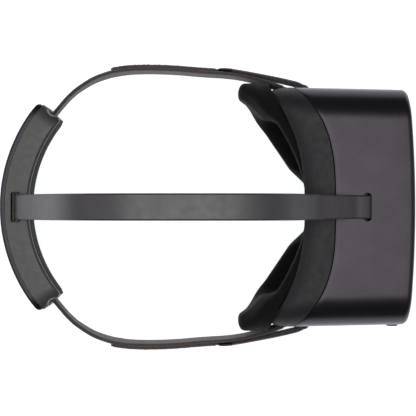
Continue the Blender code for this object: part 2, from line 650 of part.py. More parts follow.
def electronics(looks):
    """Boards, shield, heat spreader, speakers and microphone."""
    half_y, half_z = 58 * MM, BODY_HEIGHT / 2 - 14 * MM
    low = (BOARD_X, -half_y, MIDDLE - half_z)
    high = (BOARD_X + BOARD_WALL, half_y, MIDDLE + half_z)
    box("mainboard", low, high, looks["board"])
    start = BOARD_X + BOARD_WALL + GAP
    low = (start, -22 * MM, MIDDLE - 18 * MM)
    high = (start + 3 * MM, 22 * MM, MIDDLE + 18 * MM)
    box("chip_shield", low, high, looks["steel"], 0.6 * MM)
    start += 3 * MM + GAP
    low = (start, -46 * MM, MIDDLE - 28 * MM)
    high = (start + 1.2 * MM, 46 * MM, MIDDLE + 28 * MM)
    box("heat_spreader", low, high, looks["aluminium"], 0.4 * MM)
    for side, word in SIDES:
        near, far = side_y(SPEAKER_X) - WALL - 12 * MM, side_y(SPEAKER_X) - WALL - 2.5 * MM
        y = sorted((side * near, side * far))
        low = (SPEAKER_X - 9 * MM, y[0], SPEAKER_Z - 9 * MM)
        high = (SPEAKER_X + 9 * MM, y[1], SPEAKER_Z + 14 * MM)
        box("speaker_" + word, low, high, looks["black_plastic"], 1.2 * MM)
    capsule = [(0, 2 * MM), (2.2 * MM, 2 * MM)]
    turned("microphone", capsule, (MIC_X, 0, WALL + GAP), (0, 0, 1), looks["aluminium"], steps=16)
    back = -side_y(KEY_X) + WALL + KEY_STANDOFF + 2.9 * MM
    half = KEY_PITCH + KEY_RADIUS + 2 * MM
    low = (KEY_X - 7 * MM, back, MIDDLE - half)
    high = (KEY_X + 5 * MM, back + BOARD_WALL, MIDDLE + half)
    box("key_board", low, high, looks["board"])


# --- keys and sockets -----------------------------------------------------------------------------


def side_keys(looks):
    """Three stepped round keys on the wearer's right side, each held by a flange inside the wall."""
    wall = side_y(KEY_X)
    names = ("back_key", "confirm_key", "home_key")
    reach = KEY_PROUD + WALL + KEY_STANDOFF
    for name, height in zip(names, key_heights()):
        start = (KEY_X, -wall - KEY_PROUD, height)
        profile = [
            (0.35 * MM, 0.4 * KEY_RADIUS),
            (0.35 * MM, 0.55 * KEY_RADIUS),
            (0, 0.62 * KEY_RADIUS),
            (0, 0.86 * KEY_RADIUS),
            (0.45 * MM, KEY_RADIUS),
            (reach, KEY_RADIUS),
            (reach, KEY_RADIUS + KEY_FLANGE),
            (reach + 1.2 * MM, KEY_RADIUS + KEY_FLANGE),
        ]
        key = turned(name, profile, start, (0, 1, 0), looks["black_plastic"])
        set_pivot(key, start)


def under_key(name, y, length, looks):
    """A long key set a little into the underside, with a flange inside the wall."""
    flange = 0.9 * MM
    half, width = length / 2, UNDER_KEY_WIDTH / 2
    levels = [
        (UNDER_KEY_SET, -0.4 * MM),
        (UNDER_KEY_SET + 0.4 * MM, 0),
        (WALL + GAP + 0.5 * MM, 0),
        (WALL + GAP + 0.5 * MM, flange),
        (UNDER_KEY_DEPTH, flange),
    ]
    rings = []
    for height, grow in levels:
        plan = stadium((UNDER_X, y), half + grow, width + grow, 6)
        rings.append([(px, py, height) for px, py in plan])
    key = solid(name, rings, looks["black_plastic"])
    set_pivot(key, (UNDER_X, y, (UNDER_KEY_SET + UNDER_KEY_DEPTH) / 2))
    return key


def sockets(looks):
    """The charging socket and the headphone socket, cups whose mouths open at the underside."""
    half_width, half_length = USB_SIZE[0] / 2, USB_SIZE[1] / 2
    wall, floor = 0.4 * MM, 1 * MM
    levels = [
        (USB_DEPTH - floor, -wall),
        (SOCKET_SET, -wall),
        (SOCKET_SET, 0),
        (USB_DEPTH, 0),
    ]
    rings = []
    for height, grow in levels:
        plan = stadium((UNDER_X, USB_Y), half_length + grow, half_width + grow, 6)
        rings.append([(x, y, height) for x, y in plan])
    solid("usb_socket", rings, looks["steel"])
    profile = [
        (JACK_DEPTH - floor, JACK_BORE),
        (SOCKET_SET, JACK_BORE),
        (SOCKET_SET, JACK_RADIUS),
        (JACK_DEPTH, JACK_RADIUS),
    ]
    turned("audio_jack", profile, (UNDER_X, JACK_Y, 0), (0, 0, 1), looks["black_plastic"], steps=20)


# --- strap mounts ---------------------------------------------------------------------------------


def strap_pocket(side, word, looks):
    """The pocket in the body's side that the strap loop turns in."""
    rim_rear = side_y(POCKET_FROM) - FRAME_TAPER * 0.5
    rim_front = side_y(POCKET_TO)
    wall = POCKET_WALL
    knee = POCKET_FROM + 13.1 * MM
    outside = [
        (POCKET_FROM - wall + 0.4 * MM, rim_rear),
        (POCKET_FROM - wall + 0.4 * MM, rim_rear - 1.5 * wall),
        (knee - 0.5 * MM, POCKET_FLOOR - wall),
        (POCKET_TO + wall, POCKET_FLOOR - wall),
        (POCKET_TO + wall, rim_front),
    ]
    inside = [
        (POCKET_FROM, rim_front + 8 * MM),
        (POCKET_FROM, rim_rear - 0.2 * MM),
        (knee, POCKET_FLOOR),
        (POCKET_TO, POCKET_FLOOR),
        (POCKET_TO, rim_front + 8 * MM),
    ]
    half = POCKET_HEIGHT / 2
    plan = [(x, side * y) for x, y in outside]
    name = "strap_pocket_" + word
    pocket = prism(name, plan, MIDDLE - half - wall, MIDDLE + half + wall, looks["black_plastic"])
    plan = [(x, side * y) for x, y in inside]
    void = prism("pocket_void_" + word, plan, MIDDLE - half, MIDDLE + half, looks["steel"])
    cut(pocket, [void])
    start = (BAR_X, side * BAR_Y, MIDDLE - half - wall - 4 * MM)
    length = POCKET_HEIGHT + 2 * wall + 8 * MM
    radius = BAR_RADIUS + 0.25 * MM
    cut(pocket, [drilled("bar_hole_" + word, radius, length, start, (0, 0, 1), looks["steel"], 14)])
    length = POCKET_HEIGHT + 2 * wall - 0.4 * MM
    rod = [(0, BAR_RADIUS * 0.8), (0.3 * MM, BAR_RADIUS), (length - 0.3 * MM, BAR_RADIUS)]
    rod.append((length, BAR_RADIUS * 0.8))
    start = (BAR_X, side * BAR_Y, MIDDLE - length / 2)
    turned("strap_bar_" + word, rod, start, (0, 0, 1), looks["steel"], steps=14)


def strap_clamp(name, x, low, high, looks):
    """The block inside a housing that grips the end of the top strap."""
    half_x, half_y = 3 * MM, TOP_STRAP_FRONT_WIDTH / 2 + 2.5 * MM
    clamp = box(name, (x - half_x, -half_y, low), (x + half_x, half_y, high), looks["black_plastic"])
    slot_x, slot_y = TOP_STRAP_THICK / 2 + GAP, TOP_STRAP_FRONT_WIDTH / 2 + 1.4 * MM
    corners = (x - slot_x, -slot_y, low - 4 * MM), (x + slot_x, slot_y, high + 4 * MM)
    tool = box(name + "_slot", *corners, looks["steel"])
    cut(clamp, [tool])


# --- rear unit ------------------------------------------------------------------------------------


def rear_point(radius, degrees, height):
    """A point of the rear unit: 0 degrees is straight back, positive towards the wearer's left."""
    turn = np.radians(degrees)
    return np.array((REAR_CENTRE_X - radius * np.cos(turn), radius * np.sin(turn), height))


def arc_rings(profile, first, last, steps):
    """A profile of (radius, height) carried round the rear unit's axis."""
    angles = np.linspace(first, last, steps + 1)
    return [[rear_point(radius, angle, height) for radius, height in profile] for angle in angles]


def arc_solid(name, profile, first, last, look, steps=ARC_STEPS):
    """A solid arc of one profile."""
    return solid(name, arc_rings(profile, first, last, steps), look)


def rectangle(inner, outer, low, high, chamfer=0.0):
    """A profile between two radii and two heights, with its corners taken off."""
    if not chamfer:
        return [(inner, low), (outer, low), (outer, high), (inner, high)]
    c = chamfer
    return [
        (inner + c, low), (outer - c, low), (outer, low + c), (outer, high - c),
        (outer - c, high), (inner + c, high), (inner, high - c), (inner, low + c),
    ]


REAR_FACE = REAR_OUTER - REAR_SHELL_DEPTH - GAP  # outer radius of the housing
REAR_BACK = REAR_INNER + REAR_PAD_DEPTH + GAP  # inner radius of the housing
REAR_SCREW_ANGLE = REAR_HALF_SPAN - 4.3
REAR_SCREW_Z = REAR_HEIGHT / 2 - 11 * MM  # above and below the middle


def rear_screw_places():
    """Angle, height and word of the four screws behind the pad."""
    middle = REAR_HEIGHT / 2
    return [
        (side * REAR_SCREW_ANGLE, middle + step * REAR_SCREW_Z)
        for side in (LEFT, RIGHT)
        for step in (1, -1)
    ]


def radial(degrees):
    """Outward direction of the rear unit at an angle."""
    turn = math.radians(degrees)
    return (-math.cos(turn), math.sin(turn), 0)


def rear_shell(looks):
    """The outer band of the rear unit, a channel that closes the housing, with screw posts."""
    outer, inner, wall = REAR_OUTER, REAR_OUTER - REAR_SHELL_DEPTH, REAR_SHELL_WALL
    soft = 1.2 * MM
    profile = [
        (inner, 0), (outer - soft, 0), (outer - 0.35 * soft, 0.35 * soft), (outer, soft),
        (outer, REAR_HEIGHT - soft), (outer - 0.35 * soft, REAR_HEIGHT - 0.35 * soft),
        (outer - soft, REAR_HEIGHT), (inner, REAR_HEIGHT), (inner, REAR_HEIGHT - wall),
        (outer - wall, REAR_HEIGHT - wall), (outer - wall, wall), (inner, wall),
    ]
    shell = arc_solid("rear_shell", profile, -REAR_HALF_SPAN, REAR_HALF_SPAN, looks["satin_shell"])
    start = REAR_BACK + REAR_WALL + GAP
    length = outer - wall / 2 - start
    posts, bores = [], []
    for place, (angle, height) in enumerate(rear_screw_places()):
        foot, axis = rear_point(start, angle, height), radial(angle)
        radius = SCREW_RADIUS + 1.7 * MM
        posts.append(drilled(f"rear_post_{place}", radius, length, foot, axis, looks["steel"], 12))
        foot = rear_point(start - 2 * MM, angle, height)
        radius = SCREW_RADIUS + GAP
        bores.append(drilled(f"rear_bore_{place}", radius, 10 * MM, foot, axis, looks["steel"], 10))
    cut(shell, posts, "UNION")
    cut(shell, bores)
    return shell


def rear_housing(looks):
    """The tray that holds the cells, open towards the outer band."""
    span = REAR_HALF_SPAN
    profile = rectangle(REAR_BACK, REAR_FACE, 0, REAR_HEIGHT, 1.2 * MM)
    housing = arc_solid("rear_housing", profile, -span, span, looks["grey_housing"])
    end = math.degrees(REAR_WALL / REAR_FACE)
    room = rectangle(REAR_BACK + REAR_WALL, REAR_FACE + 6 * MM, REAR_WALL, REAR_HEIGHT - REAR_WALL)
    cut(housing, [arc_solid("rear_room", room, end - span, span - end, looks["steel"])])
    inner, outer = boot_radii()
    half = BOOT_HEIGHT / 2 + GAP
    window = rectangle(inner - GAP, outer + GAP, REAR_HEIGHT / 2 - half, REAR_HEIGHT / 2 + half)
    tools = []
    for side, word in SIDES:
        first, last = sorted((side * (span - BOOT_ANGLE - 0.5), side * (span + 4)))
        tools.append(arc_solid("boot_window_" + word, window, first, last, looks["steel"], 4))
    low, high, half = REAR_SLOT
    plan = stadium(((low + high) / 2, 0), half, (high - low) / 2)
    tools.append(prism("rear_slot", plan, REAR_HEIGHT - 5 * MM, REAR_HEIGHT + 5 * MM, looks["steel"]))
    for place, (angle, height) in enumerate(rear_screw_places()):
        head = 4 * MM + 1.4 * MM
        wide, narrow = SCREW_HEAD_RADIUS + GAP, SCREW_RADIUS + GAP
        hole = [(0, wide), (head, wide), (head, narrow), (10 * MM, narrow)]
        start = rear_point(REAR_BACK - 4 * MM, angle, height)
        name = f"rear_screw_hole_{place}"
        tools.append(turned(name, hole, start, radial(angle), looks["steel"], steps=12))
    cut(housing, tools, solver="MANIFOLD")
    return housing


def boot_radii():
    """Inner and outer radius of the strap boot."""
    middle = STRAP_ROOT_RADIUS
    return middle - BOOT_WIDTH / 2, middle + BOOT_WIDTH / 2


def strap_boot(side, word, looks):
    """The socket in the end of the rear unit that the side strap leaves through."""
    inner, outer = boot_radii()
    middle = REAR_HEIGHT / 2
    outside = rectangle(inner, outer, middle - BOOT_HEIGHT / 2, middle + BOOT_HEIGHT / 2)
    half = STRAP_THICK / 2 + 0.6 * MM
    low, high = middle - STRAP_ROOT_HEIGHT / 2 - 1 * MM, middle + STRAP_ROOT_HEIGHT / 2 + 1 * MM
    inside = rectangle(STRAP_ROOT_RADIUS - half, STRAP_ROOT_RADIUS + half, low, high)
    first, last = side * (REAR_HALF_SPAN - BOOT_ANGLE), side * (REAR_HALF_SPAN - 0.1)
    rings = arc_rings(outside, first, last, 4) + arc_rings(inside, first, last, 4)[::-1]
    solid("strap_boot_" + word, rings, looks["black_plastic"], wrap=True)


def rear_unit(looks):
    """The rear unit's shell, tray, pad, cells, board, boots and screws."""
    rear_shell(looks)
    rear_housing(looks)
    pad = rectangle(REAR_INNER, REAR_INNER + REAR_PAD_DEPTH, 1.5 * MM, REAR_HEIGHT - 1.5 * MM, 0.9 * MM)
    arc_solid("rear_pad", pad, 0.8 - REAR_HALF_SPAN, REAR_HALF_SPAN - 0.8, looks["knit"])
    near, far = CELL_ANGLES
    inner, outer = REAR_BACK + REAR_WALL + 1 * MM, REAR_OUTER - REAR_SHELL_WALL - 2.3 * MM
    cell = rectangle(inner, outer, 5 * MM, REAR_HEIGHT - 5 * MM, 1.5 * MM)
    for side, word in SIDES:
        first, last = sorted((side * near, side * far))
        arc_solid("battery_cell_" + word, cell, first, last, looks["cell_wrap"], 10)
        strap_boot(side, word, looks)
    board = rectangle(REAR_FACE - 4.6 * MM, REAR_FACE - 3 * MM, 6 * MM, REAR_HEIGHT - 22 * MM)
    arc_solid("protection_board", board, -4.5, 4.5, looks["board"], 4)
    for place, (angle, height) in enumerate(rear_screw_places()):
        head_start = rear_point(REAR_BACK - 0.2 * MM, angle, height)
        screw(f"rear_screw_{place + 1}", head_start, radial(angle), 8 * MM, looks)


# --- straps ---------------------------------------------------------------------------------------


def smooth_route(points, steps):
    """A Catmull-Rom curve through the points, read at even distances along it."""
    points = np.array(points, float)
    ends = 2 * points[:1] - points[1:2], 2 * points[-1:] - points[-2:-1]
    knots = np.concatenate([ends[0], points, ends[1]])
    t = np.linspace(0, 1, 12, endpoint=False)[:, None]
    pieces = []
    for p0, p1, p2, p3 in zip(knots[:-3], knots[1:-2], knots[2:-1], knots[3:]):
        bend = 2 * p0 - 5 * p1 + 4 * p2 - p3
        twist = 3 * p1 - p0 - 3 * p2 + p3
        pieces.append(p1 + 0.5 * (t * (p2 - p0) + t**2 * bend + t**3 * twist))
    line = np.concatenate([*pieces, points[-1:]])
    return resampled(line, steps)


def resampled(line, steps):
    """The same line with its points at even distances."""
    run = np.concatenate([[0], np.cumsum(np.linalg.norm(np.diff(line, axis=0), axis=1))])
    even = np.linspace(0, run[-1], steps)
    return np.stack([np.interp(even, run, line[:, axis]) for axis in range(line.shape[1])], 1)


def band_rings(centre, across, thickness, width, bevel=0.0):
    """Rings of a flat band whose middle follows a line and whose width lies along one direction."""
    centre = np.asarray(centre, float)
    tangent = np.gradient(centre, axis=0)
    tangent /= np.linalg.norm(tangent, axis=1)[:, None]
    across = np.array(across, float)
    normal = np.cross(tangent, across)
    normal /= np.linalg.norm(normal, axis=1)[:, None]
    half_t = np.broadcast_to(np.asarray(thickness, float) / 2, len(centre))[:, None]
    half_w = np.broadcast_to(np.asarray(width, float) / 2, len(centre))[:, None]
    corners = [(1, 1), (-1, 1), (-1, -1), (1, -1)]
    if bevel:
        inner = half_w - bevel
        sides = [
            centre + normal * half_t + across * inner,
            centre + across * half_w,
            centre - normal * half_t + across * inner,
            centre - normal * half_t - across * inner,
            centre - across * half_w,
            centre + normal * half_t - across * inner,
        ]
    else:
        sides = [centre + normal * half_t * a + across * half_w * b for a, b in corners]
    return list(np.stack(sides, 1))


# The sizes that the straps' points were drawn for. The points follow when those sizes change.
DRAWN_BODY_HALF, DRAWN_BODY_HEIGHT, DRAWN_REAR_HEIGHT = 90.5 * MM, 95 * MM, 66 * MM
DRAWN_REAR_APEX = -156.7 * MM
DRAWN_ROOT = (-117.4388 * MM, 72.8865 * MM)
FOLLOW_SIDE = (-90 * MM, 5 * MM)  # between these X a side strap goes from the rear unit's shift to the body's
FOLLOW_TOP = (-110 * MM, 90 * MM)

SIDE_ROUTE = [
    (-118.0, 72.2), (-113.9, 77.1), (-108.8, 83.0), (-104.9, 86.8), (-99.0, 91.5), (-87.1, 98.2),
    (-75.1, 102.2), (-66.0, 104.0), (-57.0, 105.05), (-45.0, 105.45), (-32.8, 105.25), (-20.6, 104.65),
    (-8.5, 103.6), (3.7, 102.7), (14.0, 102.1), (24.0, 101.0), (34.0, 99.1), (46.0, 95.9), (57.7, 91.9),
]  # X and Y of the left strap's middle line in millimetres, from the rear unit to its pocket
TAIL_START = [(58.3, 91.65), (66.0, 88.9), (71.0, 86.75)]
TAIL_END = [
    (70.7, 94.6), (64.6, 96.2), (58.5, 97.6), (52.4, 98.9), (46.0, 100.15), (40.0, 101.3),
    (34.0, 102.4), (28.0, 103.5), (21.1, 104.6),
]
TAB_LINE = [(20.7, 104.75), (15.0, 105.15), (9.8, 105.25)]
TOP_ROUTE = [
    (-144.5, 40), (-144.5, 50), (-144.5, 58), (-143.6, 68), (-136.5, 79.5), (-124, 98), (-113, 119),
    (-103, 136), (-92, 149), (-80, 157.5), (-59, 164.6), (-35, 166.4), (-10, 166.9), (12, 166.4),
    (30, 164.2), (45, 158.5), (57, 149), (68, 136.5), (78, 125), (88, 114.5), (100, 105.2),
    (110, 100.4), (116, 98.2), (120, 95.6), (121.9, 91.5), (122.2, 87), (122.2, 76), (122.6, 68),
    (126, 61), (133.4, 57),
]  # X and Z of the lead inside the top strap, in millimetres, from board to board


def following(points, span, rear_shift, front_shift):
    """Points that shift with the rear unit at one end, with the body at the other and smoothly between."""
    share = smoothstep((points[:, :1] - span[0]) / (span[1] - span[0]))
    return points + np.array(rear_shift) * (1 - share) + np.array(front_shift) * share


def flat_route(points, side, height):
    """Millimetre plan points of the left side as a route on either side, at given heights."""
    root = rear_point(STRAP_ROOT_RADIUS, REAR_HALF_SPAN, 0)[:2]
    front_shift = (0, BODY_HALF_REAR - DRAWN_BODY_HALF)
    plan = following(np.array(points) * MM, FOLLOW_SIDE, root - DRAWN_ROOT, front_shift)
    return np.stack([plan[:, 0], side * plan[:, 1], np.broadcast_to(height, len(plan))], 1)


def side_strap(side, word, looks):
    """The woven strap from the rear unit's boot to the pocket in the body's side."""
    root = rear_point(STRAP_ROOT_RADIUS, REAR_HALF_SPAN - BOOT_ANGLE + 0.6, 0) * (1, side, 1)
    line = smooth_route(np.concatenate([[root], flat_route(SIDE_ROUTE, side, 0.0)]), 38)
    share = smoothstep((line[:, 0] - line[0, 0] - 8 * MM) / (50 * MM))
    line[:, 2] = STRAP_ROOT_MIDDLE + (STRAP_MIDDLE - STRAP_ROOT_MIDDLE) * share
    height = STRAP_ROOT_HEIGHT + (STRAP_HEIGHT - STRAP_ROOT_HEIGHT) * share
    solid("side_strap_" + word, band_rings(line, (0, 0, 1), STRAP_THICK, height), looks["webbing"])
    return line


def loop_pile(side, word, line, looks):
    """The strip of loops on the outside of a side strap."""
    tangent = np.gradient(line[:, :2], axis=0)
    tangent /= np.linalg.norm(tangent, axis=1)[:, None]
    outward = np.stack([-tangent[:, 1], tangent[:, 0]], 1) * side
    lift = STRAP_THICK / 2 + GAP + PILE_THICK / 2
    base = line.copy()
    base[:, :2] += outward * lift
    fine = resampled(base, 400)
    chosen = fine[(fine[:, 0] > PILE_FROM) & (fine[:, 0] < PILE_TO)]
    band = band_rings(resampled(chosen, 26), (0, 0, 1), PILE_THICK, PILE_HEIGHT)
    solid("loop_pile_" + word, band, looks["pile"])


def strap_tail(side, word, looks):
    """The thinner end of the strap: round the bar and back along the outside."""
    turns = np.radians(np.linspace(-90, 90, 9))
    loop = np.stack([LOOP_X + LOOP_RADIUS * np.cos(turns), LOOP_Y + LOOP_RADIUS * np.sin(turns)], 1)
    loop = np.column_stack([loop * (1, side), np.full(len(turns), STRAP_MIDDLE)])
    start = flat_route(TAIL_START, side, STRAP_MIDDLE)
    end = flat_route(TAIL_END, side, STRAP_MIDDLE)
    line = smooth_route(np.concatenate([start, loop, end]), 42)
    solid("strap_tail_" + word, band_rings(line, (0, 0, 1), TAIL_THICK, TAIL_HEIGHT), looks["webbing"])


def hook_tab(side, word, looks):
    """The hook-faced tab at the end of the tail, which grips the loops."""
    line = flat_route(TAB_LINE, side, STRAP_MIDDLE)
    line = smooth_route(line, 7)
    band = band_rings(line, (0, 0, 1), TAB_THICK, TAIL_HEIGHT)
    tab = solid("hook_tab_" + word, band, looks["black_plastic"])
    set_pivot(tab, line[3])


def top_route():
    """Points of the lead inside the top strap, from board to board."""
    points = np.array(TOP_ROUTE) * MM
    rear_shift = (REAR_APEX - DRAWN_REAR_APEX, REAR_HEIGHT - DRAWN_REAR_HEIGHT)
    points = following(points, FOLLOW_TOP, rear_shift, (0, BODY_HEIGHT - DRAWN_BODY_HEIGHT))
    return np.column_stack([points[:, 0], np.zeros(len(points)), points[:, 1]])


def top_strap(looks):
    """The top strap, a flat sleeve, with the battery lead inside it from board to board."""
    line = smooth_route(top_route(), 56)
    x, z = line[:, 0], line[:, 2]
    rear_end, front_end = REAR_HEIGHT - 13 * MM, BODY_HEIGHT - 15 * MM
    inside = ((x < 0) & (z < rear_end)) | ((x > 100 * MM) & (z < front_end))
    sleeve = line[~inside]
    narrowing = smoothstep((sleeve[:, 0] - 60 * MM) / (50 * MM))
    width = TOP_STRAP_WIDTH + (TOP_STRAP_FRONT_WIDTH - TOP_STRAP_WIDTH) * narrowing
    room = LEAD_WIDTH + 2 * GAP, LEAD_THICK + 2 * GAP
    outer = band_rings(sleeve, (0, 1, 0), TOP_STRAP_THICK, width)
    inner = band_rings(sleeve, (0, 1, 0), room[1], room[0])
    solid("top_strap", joined(outer, inner[::-1]), looks["strap_rubber"], wrap=True)
    solid("battery_lead", band_rings(line, (0, 1, 0), LEAD_THICK, LEAD_WIDTH), looks["lead_sheath"])


def straps(looks):
    """Side straps with their pile, tails and tabs, the top strap, and what holds them."""
    for side, word in SIDES:
        line = side_strap(side, word, looks)
        loop_pile(side, word, line, looks)
        strap_tail(side, word, looks)
        hook_tab(side, word, looks)
        strap_pocket(side, word, looks)
    top_strap(looks)
    route = top_route()
    front, rear = route[-4][0], route[0][0]
    strap_clamp("front_clamp", front, BODY_HEIGHT - 14 * MM, BODY_HEIGHT - 7 * MM, looks)
    strap_clamp("rear_clamp", rear, REAR_HEIGHT - 12 * MM, REAR_HEIGHT - 5 * MM, looks)


def main():
    """Clears the file and builds every piece."""
    for part in list(bpy.data.objects):
        bpy.data.objects.remove(part)
    looks = finishes()
    main_shell(looks)
    front_cover(looks)
    face_frame(looks)
    cushion_carrier(looks)
    face_cushion(looks)
    optics(looks)
    electronics(looks)
    side_keys(looks)
    under_key("power_key", POWER_Y, POWER_SIZE, looks)
    under_key("volume_rocker", VOLUME_Y, VOLUME_SIZE, looks)
    sockets(looks)
    straps(looks)
    rear_unit(looks)


main()
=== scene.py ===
"""Looks of a standalone VR headset: smooth shells, woven straps, a knitted face cushion and the stage.

Frame: metres. +X is the way the wearer looks, +Y is the wearer's left and +Z is up.
"""

import json
import math

import bpy
import numpy as np
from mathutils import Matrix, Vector

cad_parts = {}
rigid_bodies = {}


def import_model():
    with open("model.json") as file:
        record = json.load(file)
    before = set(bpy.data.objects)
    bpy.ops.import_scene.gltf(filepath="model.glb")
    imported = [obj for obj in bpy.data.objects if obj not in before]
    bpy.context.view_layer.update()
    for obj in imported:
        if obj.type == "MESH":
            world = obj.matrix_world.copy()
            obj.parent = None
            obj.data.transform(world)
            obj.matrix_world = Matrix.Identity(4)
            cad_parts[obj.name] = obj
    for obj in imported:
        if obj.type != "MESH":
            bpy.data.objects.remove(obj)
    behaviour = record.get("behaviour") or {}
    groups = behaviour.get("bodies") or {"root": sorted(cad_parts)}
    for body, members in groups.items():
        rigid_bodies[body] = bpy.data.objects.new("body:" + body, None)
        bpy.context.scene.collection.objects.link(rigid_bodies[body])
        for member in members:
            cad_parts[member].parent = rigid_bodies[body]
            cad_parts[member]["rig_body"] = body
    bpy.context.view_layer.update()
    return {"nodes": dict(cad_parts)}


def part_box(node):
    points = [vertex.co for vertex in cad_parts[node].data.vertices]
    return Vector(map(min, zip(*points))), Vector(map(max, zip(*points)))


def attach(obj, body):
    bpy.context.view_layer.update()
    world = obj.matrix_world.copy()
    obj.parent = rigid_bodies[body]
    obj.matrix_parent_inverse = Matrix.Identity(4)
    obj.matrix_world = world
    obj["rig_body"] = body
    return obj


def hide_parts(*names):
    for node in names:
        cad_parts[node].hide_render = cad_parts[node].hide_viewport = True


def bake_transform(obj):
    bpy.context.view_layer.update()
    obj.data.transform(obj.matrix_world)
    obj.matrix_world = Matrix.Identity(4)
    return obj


bl_info = {
    "name": "VR Headset Looks",
    "version": (1, 0, 0),
    "blender": (4, 5, 0),
    "location": "View3D > Sidebar > Headset",
    "description": "Builds the visible surfaces, finishes and stage of a VR headset",
    "category": "Object",
}

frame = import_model()
NODES = frame["nodes"]
SHELL_LOW, SHELL_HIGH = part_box("main_shell")
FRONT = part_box("front_cover")[1].x
REAR_LOW, REAR_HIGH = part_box("rear_shell")

MM = 0.001
GAP = 0.3 * MM
SIDES = ((1, "left"), (-1, "right"))
ALONG_Y, ALONG_Z = (0, 1, 0), (0, 0, 1)

# Front body: half width at the rear, and plans of the seam and of the face frame's rear edge
HEIGHT = SHELL_HIGH.z - SHELL_LOW.z
HALF_REAR = SHELL_HIGH.y
MIDDLE = HEIGHT / 2
SEAM_CENTRE, SEAM_SWEEP, SEAM_POWER = 96.9 * MM, 30.1 * MM, 3.3
FRAME_CENTRE, FRAME_SWEEP, FRAME_POWER = 74.2 * MM, 26.3 * MM, 2.6
EDGE_STEPS, CORNER_STEPS, SIDE_STEPS = 56, 16, 10
SHELL_END, COVER_START = 1.62, 1.655  # stations on the front rounding, 1 to 2
SLOT_REAR, SLOT_FRONT, SLOT_HALF = 117.6 * MM, 123.5 * MM, 10.55 * MM
KEY_NODES = ("back_key", "confirm_key", "home_key")
KEY_RADIUS = 4.5 * MM
UNDER_HOLES = (
    ("power_key", 5 * MM, 2.2 * MM),
    ("volume_rocker", 12 * MM, 2.2 * MM),
    ("usb_socket", 4.5 * MM, 1.65 * MM),
)  # node, half length and half width of its opening in the underside
SPEAKER_SLOTS, SPEAKER_PITCH, SPEAKER_X = 4, 4 * MM, 117 * MM
SPEAKER_LOW, SPEAKER_HIGH, SPEAKER_HALF = 24 * MM, 34 * MM, 0.7 * MM

# Rear unit: radii about its axis, and half spans in degrees
REAR_HEIGHT = REAR_HIGH.z
REAR_OUTER = 124.3 * MM
REAR_CENTRE_X = REAR_LOW.x + REAR_OUTER
REAR_FACE = REAR_OUTER - 4 * MM
REAR_BACK = 106 * MM
LIP_INNER = 102 * MM
CASE_SPAN, BAND_SPAN, PAD_SPAN = 40.75, 40.3, 40.2
END_DROP, END_REACH = 6 * MM, 13 * MM


# --- sizes and colours that a user may change ------------------------------------------------------


def size(name, text, value):
    """A length property in metres."""
    return bpy.props.FloatProperty(
        name=name, description=text, default=value, min=0, max=1, unit="LENGTH", precision=5
    )


def colour(name, text, value):
    """A colour property."""
    return bpy.props.FloatVectorProperty(
        name=name, description=text, default=value, size=3, min=0, max=1, subtype="COLOR"
    )


class HEADSET_PG_body(bpy.types.PropertyGroup):
    """Sizes of the front body's surfaces."""

    side_taper: size("Side taper", "How much each side draws in towards the front", 1.7 * MM)
    corner: size("Corner radius", "Radius of the long edges", 24 * MM)
    front_bow: size("Front bow", "Radius of the front cover's bow seen from above", 0.88)
    front_rounding: size("Front rounding", "Radius where the sides turn into the front", 4.5 * MM)
    wall: size("Wall", "Thickness of the shell", 2.2 * MM)
    seam_lip: size("Seam lip", "Rounding of the shell's edge along the seam", 0.5 * MM)
    frame_taper: size("Frame taper", "How far the face frame draws in at its rear edge", 4 * MM)
    nose_rise: size("Nose rise", "Height of the nose opening", 20 * MM)
    nose_half: size("Nose half width", "Half width of the nose opening", 17 * MM)


class HEADSET_PG_soft(bpy.types.PropertyGroup):
    """Sizes of the cushion and the straps."""

    strap_thickness: size("Strap thickness", "Thickness of a side strap", 2.9 * MM)
    strap_height: size("Strap height", "Height of a side strap", 36 * MM)
    pile_thickness: size("Pile thickness", "Thickness of the loop pile", 1.6 * MM)
    tail_thickness: size("Tail thickness", "Thickness of the folded strap end", 2.0 * MM)
    top_width: size("Top strap width", "Width of the top strap over the head", 19.15 * MM)
    top_thickness: size("Top strap thickness", "Thickness of the top strap", 2.2 * MM)
    weave_pitch: size("Weave pitch", "Distance between the webbing's ribs", 1.1 * MM)


class HEADSET_PG_colours(bpy.types.PropertyGroup):
    """Colours of the finishes."""

    shell: colour("Shell", "Satin paint of the front shell", (0.0115, 0.011, 0.0135))
    cover: colour("Cover", "Gloss of the front cover", (0.004, 0.004, 0.005))
    face_frame: colour("Face frame", "Matte face frame", (0.0165, 0.0148, 0.0185))
    housing: colour("Housing", "Rear unit's housing", (0.062, 0.062, 0.06))
    plastic: colour("Plastic", "Keys, sockets and inner parts", (0.014, 0.014, 0.015))
    knit: colour("Knit", "Knitted cover of the cushion", (0.0125, 0.0115, 0.0108))
    webbing: colour("Webbing", "Woven side straps", (0.089, 0.066, 0.054))
    pile: colour("Pile", "Loop pile", (0.112, 0.087, 0.075))
    top_strap: colour("Top strap", "Satin top strap", (0.06, 0.053, 0.06))


# --- finishes --------------------------------------------------------------------------------------

LOOKS = {}
SPECULAR, COAT, SHEEN = "Specular IOR Level", "Coat Weight", "Sheen Weight"


def coloured(sockets):
    """The colour sockets among some sockets."""
    return [socket for socket in sockets if socket.type == "RGBA"]


class Nodes:
    """Adds nodes to a tree."""

    def __init__(self, tree):
        self.tree = tree

    def feed(self, target, value):
        """Joins a socket to the one given, or sets its value."""
        if isinstance(value, bpy.types.NodeSocket):
            self.tree.links.new(value, target)
        else:
            target.default_value = value

    def node(self, kind, sockets=None, **settings):
        """A node with its settings, and with values or other sockets for its inputs."""
        made = self.tree.nodes.new(kind)
        for key, value in settings.items():
            setattr(made, key, value)
        for key, value in (sockets or {}).items():
            self.feed(made.inputs[key], value)
        return made


